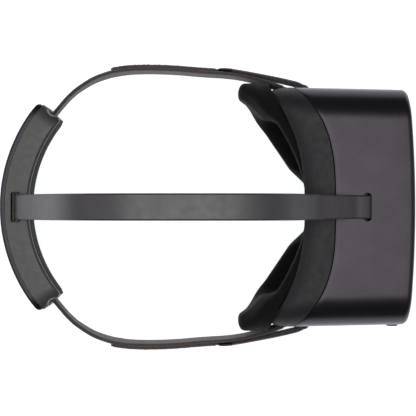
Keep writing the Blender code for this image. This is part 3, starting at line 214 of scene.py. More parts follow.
class Finish(Nodes):
    """Builds one procedural material on Object or UV coordinates."""

    def __init__(self, name, base, roughness, sockets=None, uv=False):
        self.material = bpy.data.materials.new(name)
        self.material.use_nodes = True
        super().__init__(self.material.node_tree)
        self.inputs = self.tree.nodes["Principled BSDF"].inputs
        self.base, self.height = tuple(base), None
        values = {"Base Color": (*base, 1), "Roughness": roughness}
        values |= {"Coat Roughness": 0.12, "Sheen Roughness": 0.5, **(sockets or {})}
        for key, value in values.items():
            self.inputs[key].default_value = value
        self.place = self.node("ShaderNodeTexCoord").outputs["UV" if uv else "Object"]

    def noise(self, scale, detail=3.0, stretch=None):
        """Noise of a scale per metre, stretched along an axis when asked."""
        place = self.place
        if stretch:
            place = self.node("ShaderNodeMapping", {"Vector": place, "Scale": stretch}).outputs["Vector"]
        sockets = {"Vector": place, "Scale": scale, "Detail": detail}
        return self.node("ShaderNodeTexNoise", sockets).outputs["Fac"]

    def wave(self, pitch, direction, distortion=0.0, detail_scale=1.0):
        """Parallel bands a pitch apart."""
        sockets = {"Vector": self.place, "Scale": 2 * math.pi / (20 * pitch)}
        sockets |= {"Distortion": distortion, "Detail Scale": detail_scale}
        return self.node("ShaderNodeTexWave", sockets, bands_direction=direction).outputs["Fac"]

    def maths(self, operation, first, second):
        """A Math node on sockets or numbers."""
        return self.node("ShaderNodeMath", {0: first, 1: second}, operation=operation).outputs["Value"]

    def ramp(self, value, low, high, first, last):
        """Maps a value between two numbers on to two others."""
        sockets = {"Value": value, "From Min": low, "From Max": high, "To Min": first, "To Max": last}
        return self.node("ShaderNodeMapRange", sockets).outputs["Result"]

    def shade(self, value, dark, light):
        """Colours the surface between two multiples of the base colour."""
        made = self.node("ShaderNodeMix", {"Factor": value}, data_type="RGBA")
        for socket, share in zip(coloured(made.inputs), (dark, light)):
            socket.default_value = (*np.clip(np.multiply(self.base, share), 0, 1), 1)
        self.feed(self.inputs["Base Color"], coloured(made.outputs)[0])

    def rough(self, value, low, high):
        """Varies the roughness with a value."""
        self.feed(self.inputs["Roughness"], self.ramp(value, 0.3, 0.7, low, high))

    def bump(self, value, depth, strength):
        """Adds a height pattern of a depth in metres to those before it."""
        sockets = {"Distance": depth, "Strength": strength, "Height": value}
        if self.height:
            sockets["Normal"] = self.height
        self.height = self.node("ShaderNodeBump", sockets).outputs["Normal"]
        self.feed(self.inputs["Normal"], self.height)


def plain_finishes(colours):
    """Finishes of up to three noises: colour with its darkest and lightest, roughness, and relief in mm."""
    fine_along, finer_along = (0.1, 1.0, 1.0), (0.05, 1.0, 1.0)
    return (
        ("satin_shell", colours.shell, 0.26, {SPECULAR: 0.42, "Specular Tint": (1.0, 0.88, 1.0, 1)},
         ((9, 4, (0.25, 1.0, 1.0)), (0.94, 0.93, 0.94), (1.06, 1.05, 1.05)), ((60, 5), 0.25, 0.3),
         ((5200, 2), 0.012, 0.5)),
        ("black_gloss", colours.cover, 0.07, {COAT: 1.0, SPECULAR: 0.6},
         ((20, 3), 0.8, 1.2), ((90, 6), 0.05, 0.11), None),
        ("matte_frame", colours.face_frame, 0.55, {SPECULAR: 0.45},
         ((40, 5), 0.93, 1.07), ((250, 4), 0.5, 0.6), ((2600, 3), 0.03, 0.6)),
        ("grey_housing", colours.housing, 0.38, {SPECULAR: 0.55},
         ((30, 5), 0.94, 1.05), ((300, 4), 0.35, 0.42), ((3000, 3), 0.025, 0.6)),
        ("black_plastic", colours.plastic, 0.42, {},
         ((60, 5), 0.9, 1.12), ((400, 4), 0.38, 0.5), ((4000, 3), 0.015, 0.5)),
        ("strap_rubber", colours.top_strap, 0.5, {SPECULAR: 0.8},
         ((25, 4, (0.3, 1.0, 0.3)), (0.94, 0.93, 0.93), 1.05), ((200, 4), 0.35, 0.42),
         ((3600, 3), 0.015, 0.5)),
        ("steel", (0.55, 0.55, 0.56), 0.28, {"Metallic": 1.0},
         ((200, 4), 0.9, 1.05), ((900, 3, fine_along), 0.22, 0.36), ((900, 3, finer_along), 0.01, 0.4)),
        ("aluminium", (0.62, 0.62, 0.64), 0.38, {"Metallic": 1.0},
         ((200, 4), 0.9, 1.05), ((700, 3, fine_along), 0.32, 0.46), ((700, 3, finer_along), 0.01, 0.4)),
        ("lens", (0.75, 0.8, 0.82), 0.03,
         {COAT: 1.0, SPECULAR: 0.6, "Transmission Weight": 0.75, "IOR": 1.49},
         None, ((120, 4), 0.02, 0.06), None),
        ("cell_wrap", (0.1, 0.11, 0.14), 0.4, {}, ((60, 3), 0.9, 1.1), None, ((160, 3), 0.15, 0.5)),
        ("lead_sheath", (0.012, 0.012, 0.012), 0.5, {}, ((300, 3), 0.85, 1.15), None, ((900, 2), 0.03, 0.5)),
    )


def make_finishes():
    """Every finish by name, built once."""
    if LOOKS:
        return
    scene = bpy.context.scene
    colours, pitch = scene.headset_colours, scene.headset_soft.weave_pitch
    for name, base, roughness, sockets, tone, rough, relief in plain_finishes(colours):
        made = Finish(name, base, roughness, sockets)
        if tone:
            made.shade(made.noise(*tone[0]), *tone[1:])
        if rough:
            made.rough(made.noise(*rough[0]), *rough[1:])
        if relief:
            made.bump(made.noise(*relief[0]), relief[1] * MM, relief[2])
        LOOKS[name] = made.material

    knit = Finish("knit", colours.knit, 0.85, {SHEEN: 0.06, SPECULAR: 0.12}, uv=True)
    loops = knit.maths("MULTIPLY", knit.wave(0.95 * MM, "X", 1.2, 3.0), knit.wave(0.8 * MM, "Y", 1.2, 3.0))
    knit.shade(loops, (0.72, 0.72, 0.74), (1.3, 1.28, 1.26))
    knit.rough(knit.noise(300), 0.8, 0.95)
    knit.bump(loops, 0.14 * MM, 0.7)
    knit.bump(knit.noise(60), 0.25 * MM, 0.3)

    webbing = Finish("webbing", colours.webbing, 0.75, {SHEEN: 0.3, SPECULAR: 0.3}, uv=True)
    weft = webbing.ramp(webbing.wave(pitch * 0.62, "Y", 0.6, 2.0), 0, 1, 0.45, 1.0)
    weave = webbing.maths("MULTIPLY", webbing.wave(pitch, "X", 0.6, 2.0), weft)
    webbing.shade(weave, (0.6, 0.58, 0.57), (1.35, 1.33, 1.32))
    webbing.rough(webbing.noise(400), 0.7, 0.85)
    webbing.bump(weave, 0.22 * MM, 0.8)

    pile = Finish("pile", colours.pile, 0.95, {SHEEN: 0.5, SPECULAR: 0.15}, uv=True)
    fuzz = pile.noise(1500, 4)
    pile.shade(fuzz, (0.5, 0.48, 0.47), (1.7, 1.65, 1.6))
    pile.rough(fuzz, 0.9, 1.0)
    pile.bump(fuzz, 0.5 * MM, 0.8)

    board = Finish("board", (0.008, 0.05, 0.022), 0.45)
    traces = board.maths("GREATER_THAN", board.noise(260, 1), 0.56)
    board.shade(traces, 0.9, (1.3, 2.2, 1.6))
    board.bump(traces, 0.04 * MM, 0.6)

    display = Finish("display", (0.004, 0.004, 0.007), 0.09, {COAT: 0.6})
    display.rough(display.noise(150), 0.07, 0.13)
    display.shade(display.wave(0.4 * MM, "Y"), 0.8, (1.4, 1.4, 1.6))
    LOOKS.update(knit=knit.material, webbing=webbing.material, pile=pile.material)
    LOOKS.update(board=board.material, display=display.material)


# --- meshes ----------------------------------------------------------------------------------------


def surface(name, rings, finish="black_plastic", wrap=False, crease=40):
    """A mesh through a grid of points, rings by ring points, with a UV map in metres along and round.

    The rings are closed loops. Their ends are capped, or joined to each other when wrap is set.
    """
    grid = np.asarray(rings, float)
    count, loop = grid.shape[:2]
    rows, cols = np.arange(count if wrap else count - 1)[:, None], np.arange(loop)[None]
    here, ahead, beside = rows * loop, (rows + 1) % count * loop, (cols + 1) % loop
    faces = np.stack([here + cols, here + beside, ahead + beside, ahead + cols], -1).reshape(-1, 4).tolist()
    if not wrap:
        faces += [list(range(loop))[::-1], list(range((count - 1) * loop, count * loop))]
    mesh = bpy.data.meshes.new(name)
    mesh.from_pydata(grid.reshape(-1, 3), [], faces)
    round_step = np.linalg.norm(np.roll(grid, -1, 1) - grid, axis=2).mean(0)
    along_step = np.linalg.norm(np.roll(grid, -1, 0) - grid, axis=2).mean(1)
    round_run, along_run = (np.concatenate([[0], np.cumsum(step)]) for step in (round_step, along_step))
    along = along_run[rows[..., None] + np.array([0, 0, 1, 1]) + 0 * cols[..., None]]
    around = round_run[cols[..., None] + np.array([0, 1, 1, 0]) + 0 * rows[..., None]]
    places = np.stack([along, around], -1).reshape(-1, 2)
    uv = np.zeros((len(mesh.loops), 2))
    uv[: len(places)] = places
    mesh.uv_layers.new(name="along_round").data.foreach_set("uv", uv.ravel())
    piece = bpy.data.objects.new(name, mesh)
    bpy.context.scene.collection.objects.link(piece)
    outwards(mesh)
    smooth(mesh, crease)
    mesh.materials.append(LOOKS[finish])
    return piece


def outwards(mesh):
    """Turns a closed mesh inside out if its signed volume is negative."""
    mesh.calc_loop_triangles()
    triangles = np.empty(len(mesh.loop_triangles) * 3, np.int32)
    mesh.loop_triangles.foreach_get("vertices", triangles)
    points = np.empty(len(mesh.vertices) * 3)
    mesh.vertices.foreach_get("co", points)
    corners = points.reshape(-1, 3)[triangles.reshape(-1, 3)]
    if np.einsum("ij,ij->", corners[:, 0], np.cross(corners[:, 1], corners[:, 2])) < 0:
        mesh.flip_normals()


def smooth(mesh, crease):
    """Smooth shading with edges sharp above an angle in degrees."""
    mesh.shade_smooth()
    mesh.set_sharp_from_angle(angle=math.radians(crease))


def applied(piece, crease):
    """Replaces a piece's mesh by what its modifiers make of it."""
    bpy.context.view_layer.update()
    old = piece.data
    mesh = bpy.data.meshes.new_from_object(piece.evaluated_get(bpy.context.evaluated_depsgraph_get()))
    piece.modifiers.clear()
    piece.data = mesh
    bpy.data.meshes.remove(old)
    smooth(mesh, crease)


def carved(piece, cutters, solver="EXACT"):
    """Takes the cutters away from a piece."""
    for cutter in cutters:
        step = piece.modifiers.new("carve", "BOOLEAN")
        step.operation, step.solver, step.object = "DIFFERENCE", solver, cutter
    applied(piece, crease=30)
    for cutter in cutters:
        bpy.data.objects.remove(cutter)


def block(low, high):
    """A cutter between two corners."""
    (x0, y0, z0), (x1, y1, z1) = low, high
    plan = np.array([(x0, y0), (x1, y0), (x1, y1), (x0, y1)])
    return surface("cutter", [np.column_stack([plan, np.full(4, z)]) for z in (z0, z1)])


def stadium(centre, half_length, half_width):
    """Plan of a slot with round ends that runs along Y: two half circles joined by straight sides."""
    turn = np.linspace(0, math.pi, 17)
    straight = half_length - half_width
    arc = np.stack([half_width * np.cos(turn), straight + half_width * np.sin(turn)], 1)
    return np.concatenate([arc, -arc]) + np.array(centre)


def arc_points(centre, radius, start, end, steps=7):
    """Points of an arc of degrees about a centre."""
    turn = np.radians(np.linspace(start, end, steps))
    return np.stack([centre[0] + radius * np.cos(turn), centre[1] + radius * np.sin(turn)], 1)


def rounded_plan(low_x, high_x, half, radius):
    """Plan of a rectangle with rounded corners between two X values."""
    near, far, side = low_x + radius, high_x - radius, half - radius
    corners = ((far, side, 0), (near, side, 90), (near, -side, 180), (far, -side, 270))
    return np.concatenate([arc_points((x, y), radius, start, start + 90, 8) for x, y, start in corners])


def prism(plan, low, high, flare=0.0):
    """A cutter that carries a plan outline up, widened at the top by a flare."""
    away = plan - plan.mean(0)
    out = away / np.linalg.norm(away, axis=1)[:, None]
    levels = [(plan, low), (plan, high)]
    if flare:
        levels.append((plan + out * flare, high + flare))
    return surface("cutter", [np.column_stack([ring, np.full(len(plan), z)]) for ring, z in levels])


def turned(name, profile, start, axis, finish="black_plastic", steps=48):
    """A profile of (distance along the axis, radius) turned round the axis that leaves start."""
    axis = np.array(axis, float) / np.linalg.norm(axis)
    guide = np.array((0.0, 0.0, 1.0)) if abs(axis[2]) < 0.9 else np.array((1.0, 0.0, 0.0))
    across = np.cross(guide, axis)
    across /= np.linalg.norm(across)
    up = np.cross(axis, across)
    angle = np.linspace(0, 2 * math.pi, steps, endpoint=False)[:, None]
    circle = np.cos(angle) * across + np.sin(angle) * up
    rings = [np.array(start) + along * axis + radius * circle for along, radius in profile]
    return surface(name, rings, finish, crease=35)


def drill(start, axis, length, radius, steps):
    """A round cutter that leaves start along an axis."""
    return turned("cutter", [(0, radius), (length, radius)], start, axis, steps=steps)


def rides_with(piece, *nodes, slot):
    """A piece stands for CAD nodes, hides them and moves with their body."""
    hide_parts(*nodes)
    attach(piece, NODES[nodes[0]]["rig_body"])


def bends(piece, end_body, ends, slot, *nodes):
    """A soft piece that stands for CAD nodes: hides them and bakes its placement into its mesh."""
    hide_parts(*nodes)
    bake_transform(piece)


def refined(name, node, finish):
    """A merged copy of a CAD node with smooth shading up to a crease, standing for it."""
    mesh = NODES[node].data.copy()
    mesh.name = name
    mesh.materials.clear()
    mesh.materials.append(LOOKS[finish])
    piece = bpy.data.objects.new(name, mesh)
    bpy.context.scene.collection.objects.link(piece)
    piece.modifiers.new("weld", "WELD").merge_threshold = 1e-6
    applied(piece, crease=32)
    rides_with(piece, node, slot=finish)


# --- front body ------------------------------------------------------------------------------------


def smoothstep(value):
    """Rises from 0 to 1 with level ends: 3 t squared minus 2 t cubed."""
    value = np.clip(value, 0, 1)
    return value * value * (3 - 2 * value)


def bell(value, width):
    """A bell of height 1 about nought: e to the minus square of value over width."""
    return np.exp(-((value / width) ** 2))


def outline(half, low, high, radius, notch=0.0):
    """Y and Z of a rounded rectangle: quarter circles and straight runs, lower edge lifted by a bell."""
    corner_y, top_z, low_z = half - radius, high - radius, low + radius
    turn = np.linspace(0, math.pi / 2, CORNER_STEPS + 1)
    across = np.linspace(corner_y, -corner_y, EDGE_STEPS + 1)[1:-1]
    down = np.linspace(top_z, low_z, SIDE_STEPS + 1)[1:-1]
    y = [corner_y + radius * np.cos(turn), across, -corner_y - radius * np.sin(turn)]
    z = [top_z + radius * np.sin(turn), np.full_like(across, high), top_z + radius * np.cos(turn)]
    y += [np.full_like(down, -half), -corner_y - radius * np.cos(turn), -across]
    z += [down, low_z - radius * np.sin(turn), np.full_like(across, low)]
    y += [corner_y + radius * np.sin(turn), np.full_like(down, half)]
    z += [low_z - radius * np.cos(turn), down[::-1]]
    y, z = np.concatenate(y), np.concatenate(z)
    middle = (low + high) / 2
    below = np.clip((middle - z) / (middle - low), 0, 1)
    return y, z + notch * below * bell(y, bpy.context.scene.headset_body.nose_half)


def seam_x(y):
    """Plan of the seam: a centre value less a power of the distance to the side."""
    return SEAM_CENTRE - SEAM_SWEEP * (np.abs(y) / HALF_REAR) ** SEAM_POWER


def frame_x(y):
    """Plan of the face frame's rear edge, of the same kind as the seam."""
    taper = bpy.context.scene.headset_body.frame_taper
    return FRAME_CENTRE - FRAME_SWEEP * (np.abs(y) / (HALF_REAR - taper)) ** FRAME_POWER


def front_x(y):
    """Plan of the front cover: a parabola of the bow's radius."""
    return FRONT - y * y / (2 * bpy.context.scene.headset_body.front_bow)


def ring_at(y, z, x):
    """Points from their three coordinates."""
    return np.stack([x + 0 * y, y, z], 1)


def body_ring(station, depth=0.0, ahead=0.0):
    """A ring of the body: station 0 is the seam, 1 the front rounding's start, 2 its end."""
    body = bpy.context.scene.headset_body
    along = min(station, 1.0)
    turn = math.pi / 2 * max(station - 1.0, 0.0)
    rounding = body.front_rounding - depth
    inset = depth + rounding * (1 - math.cos(turn))
    half = HALF_REAR - body.side_taper * along
    y, z = outline(half - inset, inset, HEIGHT - inset, body.corner - inset)
    start = seam_x(y)
    edge = front_x(y) - body.front_rounding
    return ring_at(y, z, start + (edge - start) * along + rounding * math.sin(turn) + ahead)


def face_ring(scale, depth=0.0):
    """A ring on the front cover's face, shrunk about the middle of the face."""
    body = bpy.context.scene.headset_body
    inset = body.front_rounding
    y, z = outline(HALF_REAR - body.side_taper - inset, inset, HEIGHT - inset, body.corner - inset)
    y = y * scale
    return ring_at(y, MIDDLE + (z - MIDDLE) * scale, front_x(y) - depth)


def frame_ring(station, depth=0.0, ahead=0.0):
    """A ring of the face frame: station 0 is its rear edge, set forward over the nose, and 1 the seam."""
    body = bpy.context.scene.headset_body
    draw_in = body.frame_taper * (1 - station) ** 3 + depth
    notch = body.nose_rise * (1 - station) ** 2
    y, z = outline(HALF_REAR - draw_in, draw_in, HEIGHT - draw_in, body.corner - draw_in, notch)
    nose = smoothstep((32 * MM - np.abs(y)) / (12 * MM)) * smoothstep((MIDDLE - z) / (20 * MM))
    start = frame_x(y) + 6.5 * MM * nose
    return ring_at(y, z, start + (seam_x(y) - GAP - start) * station + ahead)


def quarter(radius, degrees, make):
    """Rings round a quarter circle: make is given how far in and how far back each one lies."""
    return [make(radius * (1 - math.cos(t)), radius * (1 - math.sin(t))) for t in np.radians(degrees)]


def side_y(x):
    """Half width of the body at a distance along it, straight between its rear and its front."""
    body = bpy.context.scene.headset_body
    start = SEAM_CENTRE - SEAM_SWEEP
    share = (x - start) / (FRONT - body.front_rounding - start)
    return HALF_REAR - body.side_taper * np.clip(share, 0, 1)


def pocket_cutters():
    """Cutters for the openings that the strap pockets fill: their boxes in CAD, grown by a gap."""
    cutters = []
    for side, word in SIDES:
        low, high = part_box("strap_pocket_" + word)
        y = sorted((side * 77.5 * MM, side * (HALF_REAR + 6 * MM)))
        corner = (low.x - GAP - 0.4 * MM, y[0], low.z - GAP)
        cutters.append(block(corner, (high.x + GAP, y[1], high.z + GAP)))
    return cutters


def build_shell():
    """The satin shell: rings from the seam's rounded lip to the front rounding, and back along the inside."""
    body = bpy.context.scene.headset_body
    lip = body.seam_lip
    rear = quarter(lip, [90, 60, 30, 0], lambda inset, ahead: body_ring(0, inset, ahead))
    stops = list(np.linspace(0, 1, 18)[1:]) + list(np.linspace(1, SHELL_END, 14)[1:])
    outer = [body_ring(stop, 0.0, lip * (1 - stop) if stop < 1 else 0.0) for stop in stops]
    inner = [body_ring(stop, body.wall) for stop in (1.6, 1.3, 1, 0.5, 0)]
    shell = surface("shell_skin", rear + outer + inner, "satin_shell", wrap=True)
    plan = stadium(((SLOT_REAR + SLOT_FRONT) / 2, 0), SLOT_HALF, (SLOT_FRONT - SLOT_REAR) / 2)
    cutters = [prism(plan, HEIGHT - 6 * MM, HEIGHT - 0.2 * MM, 0.4 * MM)] + pocket_cutters()
    for key in KEY_NODES:
        centre = sum(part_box(key), Vector()) / 2
        start = (centre.x, -HALF_REAR - 5 * MM, centre.z)
        cutters.append(drill(start, ALONG_Y, 12 * MM, KEY_RADIUS + GAP, 40))
    for node, half_length, half_width in UNDER_HOLES:
        centre = sum(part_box(node), Vector()) / 2
        plan = stadium((centre.x, centre.y), half_length + GAP, half_width + GAP)
        cutters.append(prism(plan, -3 * MM, 5 * MM))
    low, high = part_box("audio_jack")
    for node, radius, steps in (("audio_jack", (high.x - low.x) / 2 + GAP, 48), ("microphone", 0.8 * MM, 24)):
        centre = sum(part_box(node), Vector()) / 2
        cutters.append(drill((centre.x, centre.y, -3 * MM), ALONG_Z, 8 * MM, radius, steps))
    for side, _ in SIDES:
        for place in range(SPEAKER_SLOTS):
            x = SPEAKER_X + (place - (SPEAKER_SLOTS - 1) / 2) * SPEAKER_PITCH
            y = sorted((side * (side_y(x) - 4 * MM), side * (side_y(x) + 4 * MM)))
            low, high = (x - SPEAKER_HALF, y[0], SPEAKER_LOW), (x + SPEAKER_HALF, y[1], SPEAKER_HIGH)
            cutters.append(block(low, high))
    carved(shell, cutters)
    rides_with(shell, "main_shell", slot="satin_shell")


def build_cover():
    """The gloss cover: rings over its face, round its edge and back behind it."""
    wall = 2 * MM
    back = [face_ring(scale, wall) for scale in (0.02, 0.3, 0.65, 1.0)]
    edge = [body_ring(COVER_START, wall)] + [body_ring(stop) for stop in np.linspace(COVER_START, 2, 8)]
    face = [face_ring(scale) for scale in np.linspace(1, 0.02, 18)[1:]]
    cover = surface("cover_skin", back + edge + face, "black_gloss", crease=45)
    rides_with(cover, "front_cover", slot="black_gloss")


def build_frame():
    """The matte face frame: rings from its rounded rear edge to the seam's lip, and back inside."""
    body = bpy.context.scene.headset_body
    lip = 1 * MM
    rear = quarter(lip, [90, 65, 40, 20, 0], lambda inset, ahead: frame_ring(0, inset, ahead))
    outer = [frame_ring(stop, 0.0, lip * (1 - stop) ** 3) for stop in np.linspace(0, 1, 24)[1:-1]]
    front = quarter(body.seam_lip, [0, 30, 60, 90], lambda inset, ahead: frame_ring(1, inset, -ahead))
    inner = [frame_ring(stop, body.wall) for stop in (1, 0.8, 0.6, 0.4, 0.2, 0.08)]
    rings = rear + outer + front + inner + [frame_ring(0, body.wall, 0.5 * MM)]
    piece = surface("face_frame_skin", rings, "matte_frame", wrap=True)
    carved(piece, pocket_cutters())
    rides_with(piece, "face_frame", slot="matte_frame")


# --- straps ----------------------------------------------------------------------------------------

SIDE_ROUTE = [
    (-118.0, 72.2), (-113.9, 77.1), (-108.8, 83.0), (-104.9, 86.8), (-99.0, 91.5), (-87.1, 98.2),
    (-75.1, 102.2), (-66.0, 104.0), (-57.0, 105.05), (-45.0, 105.45), (-32.8, 105.25), (-20.6, 104.65),
    (-8.5, 103.6), (3.7, 102.7), (14.0, 102.1), (24.0, 101.0), (34.0, 99.1), (46.0, 95.9), (57.7, 91.9),
    (59.2, 91.25),
]  # X and Y of the left strap's middle line in millimetres, from the rear unit to its pocket
TAIL_START = [(58.3, 91.65), (66.0, 88.9), (71.0, 86.75)]
TAIL_END = [
    (70.7, 94.6), (64.6, 96.2), (58.5, 97.6), (52.4, 98.9), (46.0, 100.15), (40.0, 101.3),
    (34.0, 102.4), (28.0, 103.5), (21.1, 104.6), (19.6, 104.8),
]
TAB_LINE = [(20.7, 104.75), (15.0, 105.15), (9.8, 105.25)]
LOOP_CENTRE, LOOP_RADIUS = (75.2, 88.9), 3.6
TOP_ROUTE = [
    (-144.5, 40), (-144.5, 50), (-144.5, 58), (-143.6, 68), (-136.5, 79.5), (-124, 98), (-113, 119),
    (-103, 136), (-92, 149), (-80, 157.5), (-59, 164.6), (-35, 166.4), (-10, 166.9), (12, 166.4),
    (30, 164.2), (45, 158.5), (57, 149), (68, 136.5), (77.5, 124.4), (84, 118.4), (90, 114.9),
    (96, 111.8), (101, 108.2), (106, 103.6), (111, 100.0), (117, 98.0), (121.7, 95.5), (122.5, 91.5),
    (122.6, 87), (122.2, 76), (122.6, 68), (126, 61), (133.4, 57),
]  # X and Z of the lead inside the top strap, in millimetres, from board to board
SIDE_BEND = ((0.0, 0.0, 0.0), (-0.1, 0.0, 0.0))
TAIL_BEND = ((0.057, 0, 0), (0.0215, 0, 0))
TOP_BEND = ((0.05, 0, 0), (-0.11, 0, 0))
ROOT_HEIGHT, TAIL_HEIGHT, PILE_HEIGHT = 20 * MM, 34 * MM, 33 * MM
PILE_REAR, PILE_FRONT, LOOP_LIFT = -72 * MM, 9.9 * MM, 0.3 * MM


def smooth_route(points, steps):
    """A Catmull-Rom curve through the points, read at even distances along it."""
    points = np.array(points, float)
    knots = np.concatenate([2 * points[:1] - points[1:2], points, 2 * points[-1:] - points[-2:-1]])
    t = np.linspace(0, 1, 24, endpoint=False)[:, None]
    pieces = []
    for p0, p1, p2, p3 in zip(knots[:-3], knots[1:-2], knots[2:-1], knots[3:]):
        bend = 2 * p0 - 5 * p1 + 4 * p2 - p3
        twist = 3 * p1 - p0 - 3 * p2 + p3
        pieces.append(p1 + 0.5 * (t * (p2 - p0) + t**2 * bend + t**3 * twist))
    return resampled(np.concatenate([*pieces, points[-1:]]), steps)


def resampled(line, steps):
    """The same line with its points at even distances."""
    run = np.concatenate([[0], np.cumsum(np.linalg.norm(np.diff(line, axis=0), axis=1))])
    even = np.linspace(0, run[-1], steps)
    return np.stack([np.interp(even, run, line[:, axis]) for axis in range(line.shape[1])], 1)


def flat_route(points, side):
    """Millimetre plan points of the left side as a route on either side at half the body's height."""
    x, y = np.array(points, float).T * MM
    return np.stack([x, side * y, np.full_like(x, MIDDLE)], 1)


def line_normals(centre, across):
    """Unit normals of a band whose middle follows a line: tangent crossed with the width direction."""
    tangent = np.gradient(centre, axis=0)
    tangent /= np.linalg.norm(tangent, axis=1)[:, None]
    normal = np.cross(tangent, np.array(across, float))
    return normal / np.linalg.norm(normal, axis=1)[:, None]


def band(name, centre, across, thickness, width, section, finish):
    """A band along a line: a section of (thickness share, width share) carried along it."""
    half_t = np.broadcast_to(np.asarray(thickness, float) / 2, len(centre))[:, None, None]
    half_w = np.broadcast_to(np.asarray(width, float) / 2, len(centre))[:, None, None]
    rings = centre[:, None] + line_normals(centre, across)[:, None] * half_t * section[None, :, :1]
    return surface(name, rings + np.array(across, float) * half_w * section[None, :, 1:], finish, crease=50)


def soft_section(steps, flat):
    """A flat section with rounded edges: cosine and sine, each raised to a small power."""
    turn = np.linspace(0, 2 * math.pi, steps, endpoint=False)
    c, s = np.cos(turn), np.sin(turn)
    return np.stack([np.sign(c) * np.abs(c) ** 0.7, np.sign(s) * np.abs(s) ** flat], 1)


def both_faces(height, face):
    """A section from the height of its upper face, mirrored below."""
    top = np.stack([height, face], 1)[1:-1]
    return np.concatenate([[[0.0, 1.0]], top[::-1], [[0.0, -1.0]], top * (-1, 1)])


def webbing_section(edge=0.05):
    """A strap's section: flat faces, a thicker selvedge along both edges and rounded sides."""
    face = np.linspace(-1, 1, 25)
    reach = np.abs(face)
    lift = 0.86 + 0.14 * bell(1 - reach - edge, 0.6 * edge)
    rounded = np.sqrt(np.clip(1 - ((reach - (1 - edge)) / edge).clip(0) ** 2, 0, 1))
    return both_faces(lift * rounded, face)


def sleeve_section():
    """The top strap's section: a flat face with a fine groove near both edges, and rounded edges."""
    face = np.concatenate([
        np.linspace(-1, -0.965, 5), np.linspace(-0.95, -0.87, 9), np.linspace(-0.8, 0.8, 9),
        np.linspace(0.87, 0.95, 9), np.linspace(0.965, 1, 5),
    ])
    reach = np.abs(face)
    groove = 0.13 * bell(1 - reach - 0.09, 0.016)
    return both_faces(np.sqrt(np.clip(1 - ((reach - 0.93) / 0.07).clip(0) ** 2, 0, 1)) * (1 - groove), face)


def rear_point(radius, degrees, height):
    """A point of the rear unit: 0 degrees is straight back, positive towards the wearer's left."""
    turn = np.radians(degrees)
    return np.array((REAR_CENTRE_X - radius * np.cos(turn), radius * np.sin(turn), height))


def build_side_strap(side, word):
    """A side strap: the webbing section along its line, low and narrow at the rear unit, taller in front."""
    soft = bpy.context.scene.headset_soft
    root = rear_point(112 * MM, 36.2, 0) * (1, side, 1)
    route = flat_route(SIDE_ROUTE, side) * (1, 1, 0)
    line = smooth_route(np.concatenate([[root], route]), 220)
    share = smoothstep((line[:, 0] - line[0, 0] - 8 * MM) / (50 * MM))
    line[:, 2] = REAR_HEIGHT / 2 + (MIDDLE - REAR_HEIGHT / 2) * share
    width = ROOT_HEIGHT + (soft.strap_height - ROOT_HEIGHT) * share
    thickness = soft.strap_thickness
    strap = band("webbing_strap_" + word, line, ALONG_Z, thickness, width, webbing_section(), "webbing")
    bends(strap, "rear_unit", SIDE_BEND, "webbing", "side_strap_" + word)
    return line


def side_normals(line, side):
    """Unit normals of a side strap's line, away from the head."""
    normal = line_normals(line, ALONG_Z)
    return normal * np.sign(normal[:, 1:2]) * side


def build_pile(side, word, line):
    """A strip of loops: a soft section whose outside is lifted by rows of small bells and seeded noise."""
    soft = bpy.context.scene.headset_soft
    base = line + side_normals(line, side) * (soft.strap_thickness + soft.pile_thickness + 0.4 * MM) / 2
    base[:, 2] = MIDDLE
    fine = resampled(base, 2000)
    line = resampled(fine[(fine[:, 0] > PILE_REAR) & (fine[:, 0] < PILE_FRONT)], 300)
    section = soft_section(96, 0.3)
    count, around = len(line), len(section)
    draw = np.random.default_rng(7 + side)
    rows = np.sin(np.arange(count)[:, None] * 1.35) * np.sin(np.arange(around)[None] * 1.3)
    lift = LOOP_LIFT * (rows + draw.standard_normal((count, around)))
    ends = smoothstep(np.minimum(np.arange(count), count - 1 - np.arange(count)) / 8)[:, None]
    outside = np.clip(section[:, 0], 0, 1)[None]
    across = soft.pile_thickness / 2 * section[None, :, 0] * (0.5 + 0.5 * ends) + lift * outside * ends
    rings = line[:, None] + side_normals(line, side)[:, None] * across[..., None]
    rings = rings + np.array(ALONG_Z) * (PILE_HEIGHT / 2 * section[None, :, 1:])
    pile = surface("pile_strip_" + word, rings, "pile", crease=80)
    bends(pile, "rear_unit", SIDE_BEND, "pile", "loop_pile_" + word)


def build_tail(side, word):
    """The strap's thinner end: round the bar in a half circle and back along the outside."""
    thickness = bpy.context.scene.headset_soft.tail_thickness
    loop = arc_points(LOOP_CENTRE, LOOP_RADIUS, -90, 90, 13).tolist()
    line = smooth_route(flat_route(TAIL_START + loop + TAIL_END, side), 240)
    tail = band("webbing_tail_" + word, line, ALONG_Z, thickness, TAIL_HEIGHT, webbing_section(), "webbing")
    bends(tail, "hook_tab_" + word, TAIL_BEND, "webbing", "strap_tail_" + word)


def build_tab(side, word):
    """The hook tab at the tail's end: thinner towards its tip, whose corners are quarter circles."""
    line = smooth_route(flat_route(TAB_LINE, side), 60)
    corner = 5 * MM
    length = np.linalg.norm(line[-1] - line[0])
    left = np.clip(1 - (1 - np.linspace(0, 1, 60)) * length / corner, 0, 1)
    width = TAIL_HEIGHT - 2 * corner * (1 - np.sqrt(1 - left**2))
    thickness = 2.4 * MM * (1 - 0.45 * left**3)
    tab = band("hook_end_" + word, line, ALONG_Z, thickness, width, soft_section(48, 0.22), "black_plastic")
    rides_with(tab, "hook_tab_" + word, slot="black_plastic")


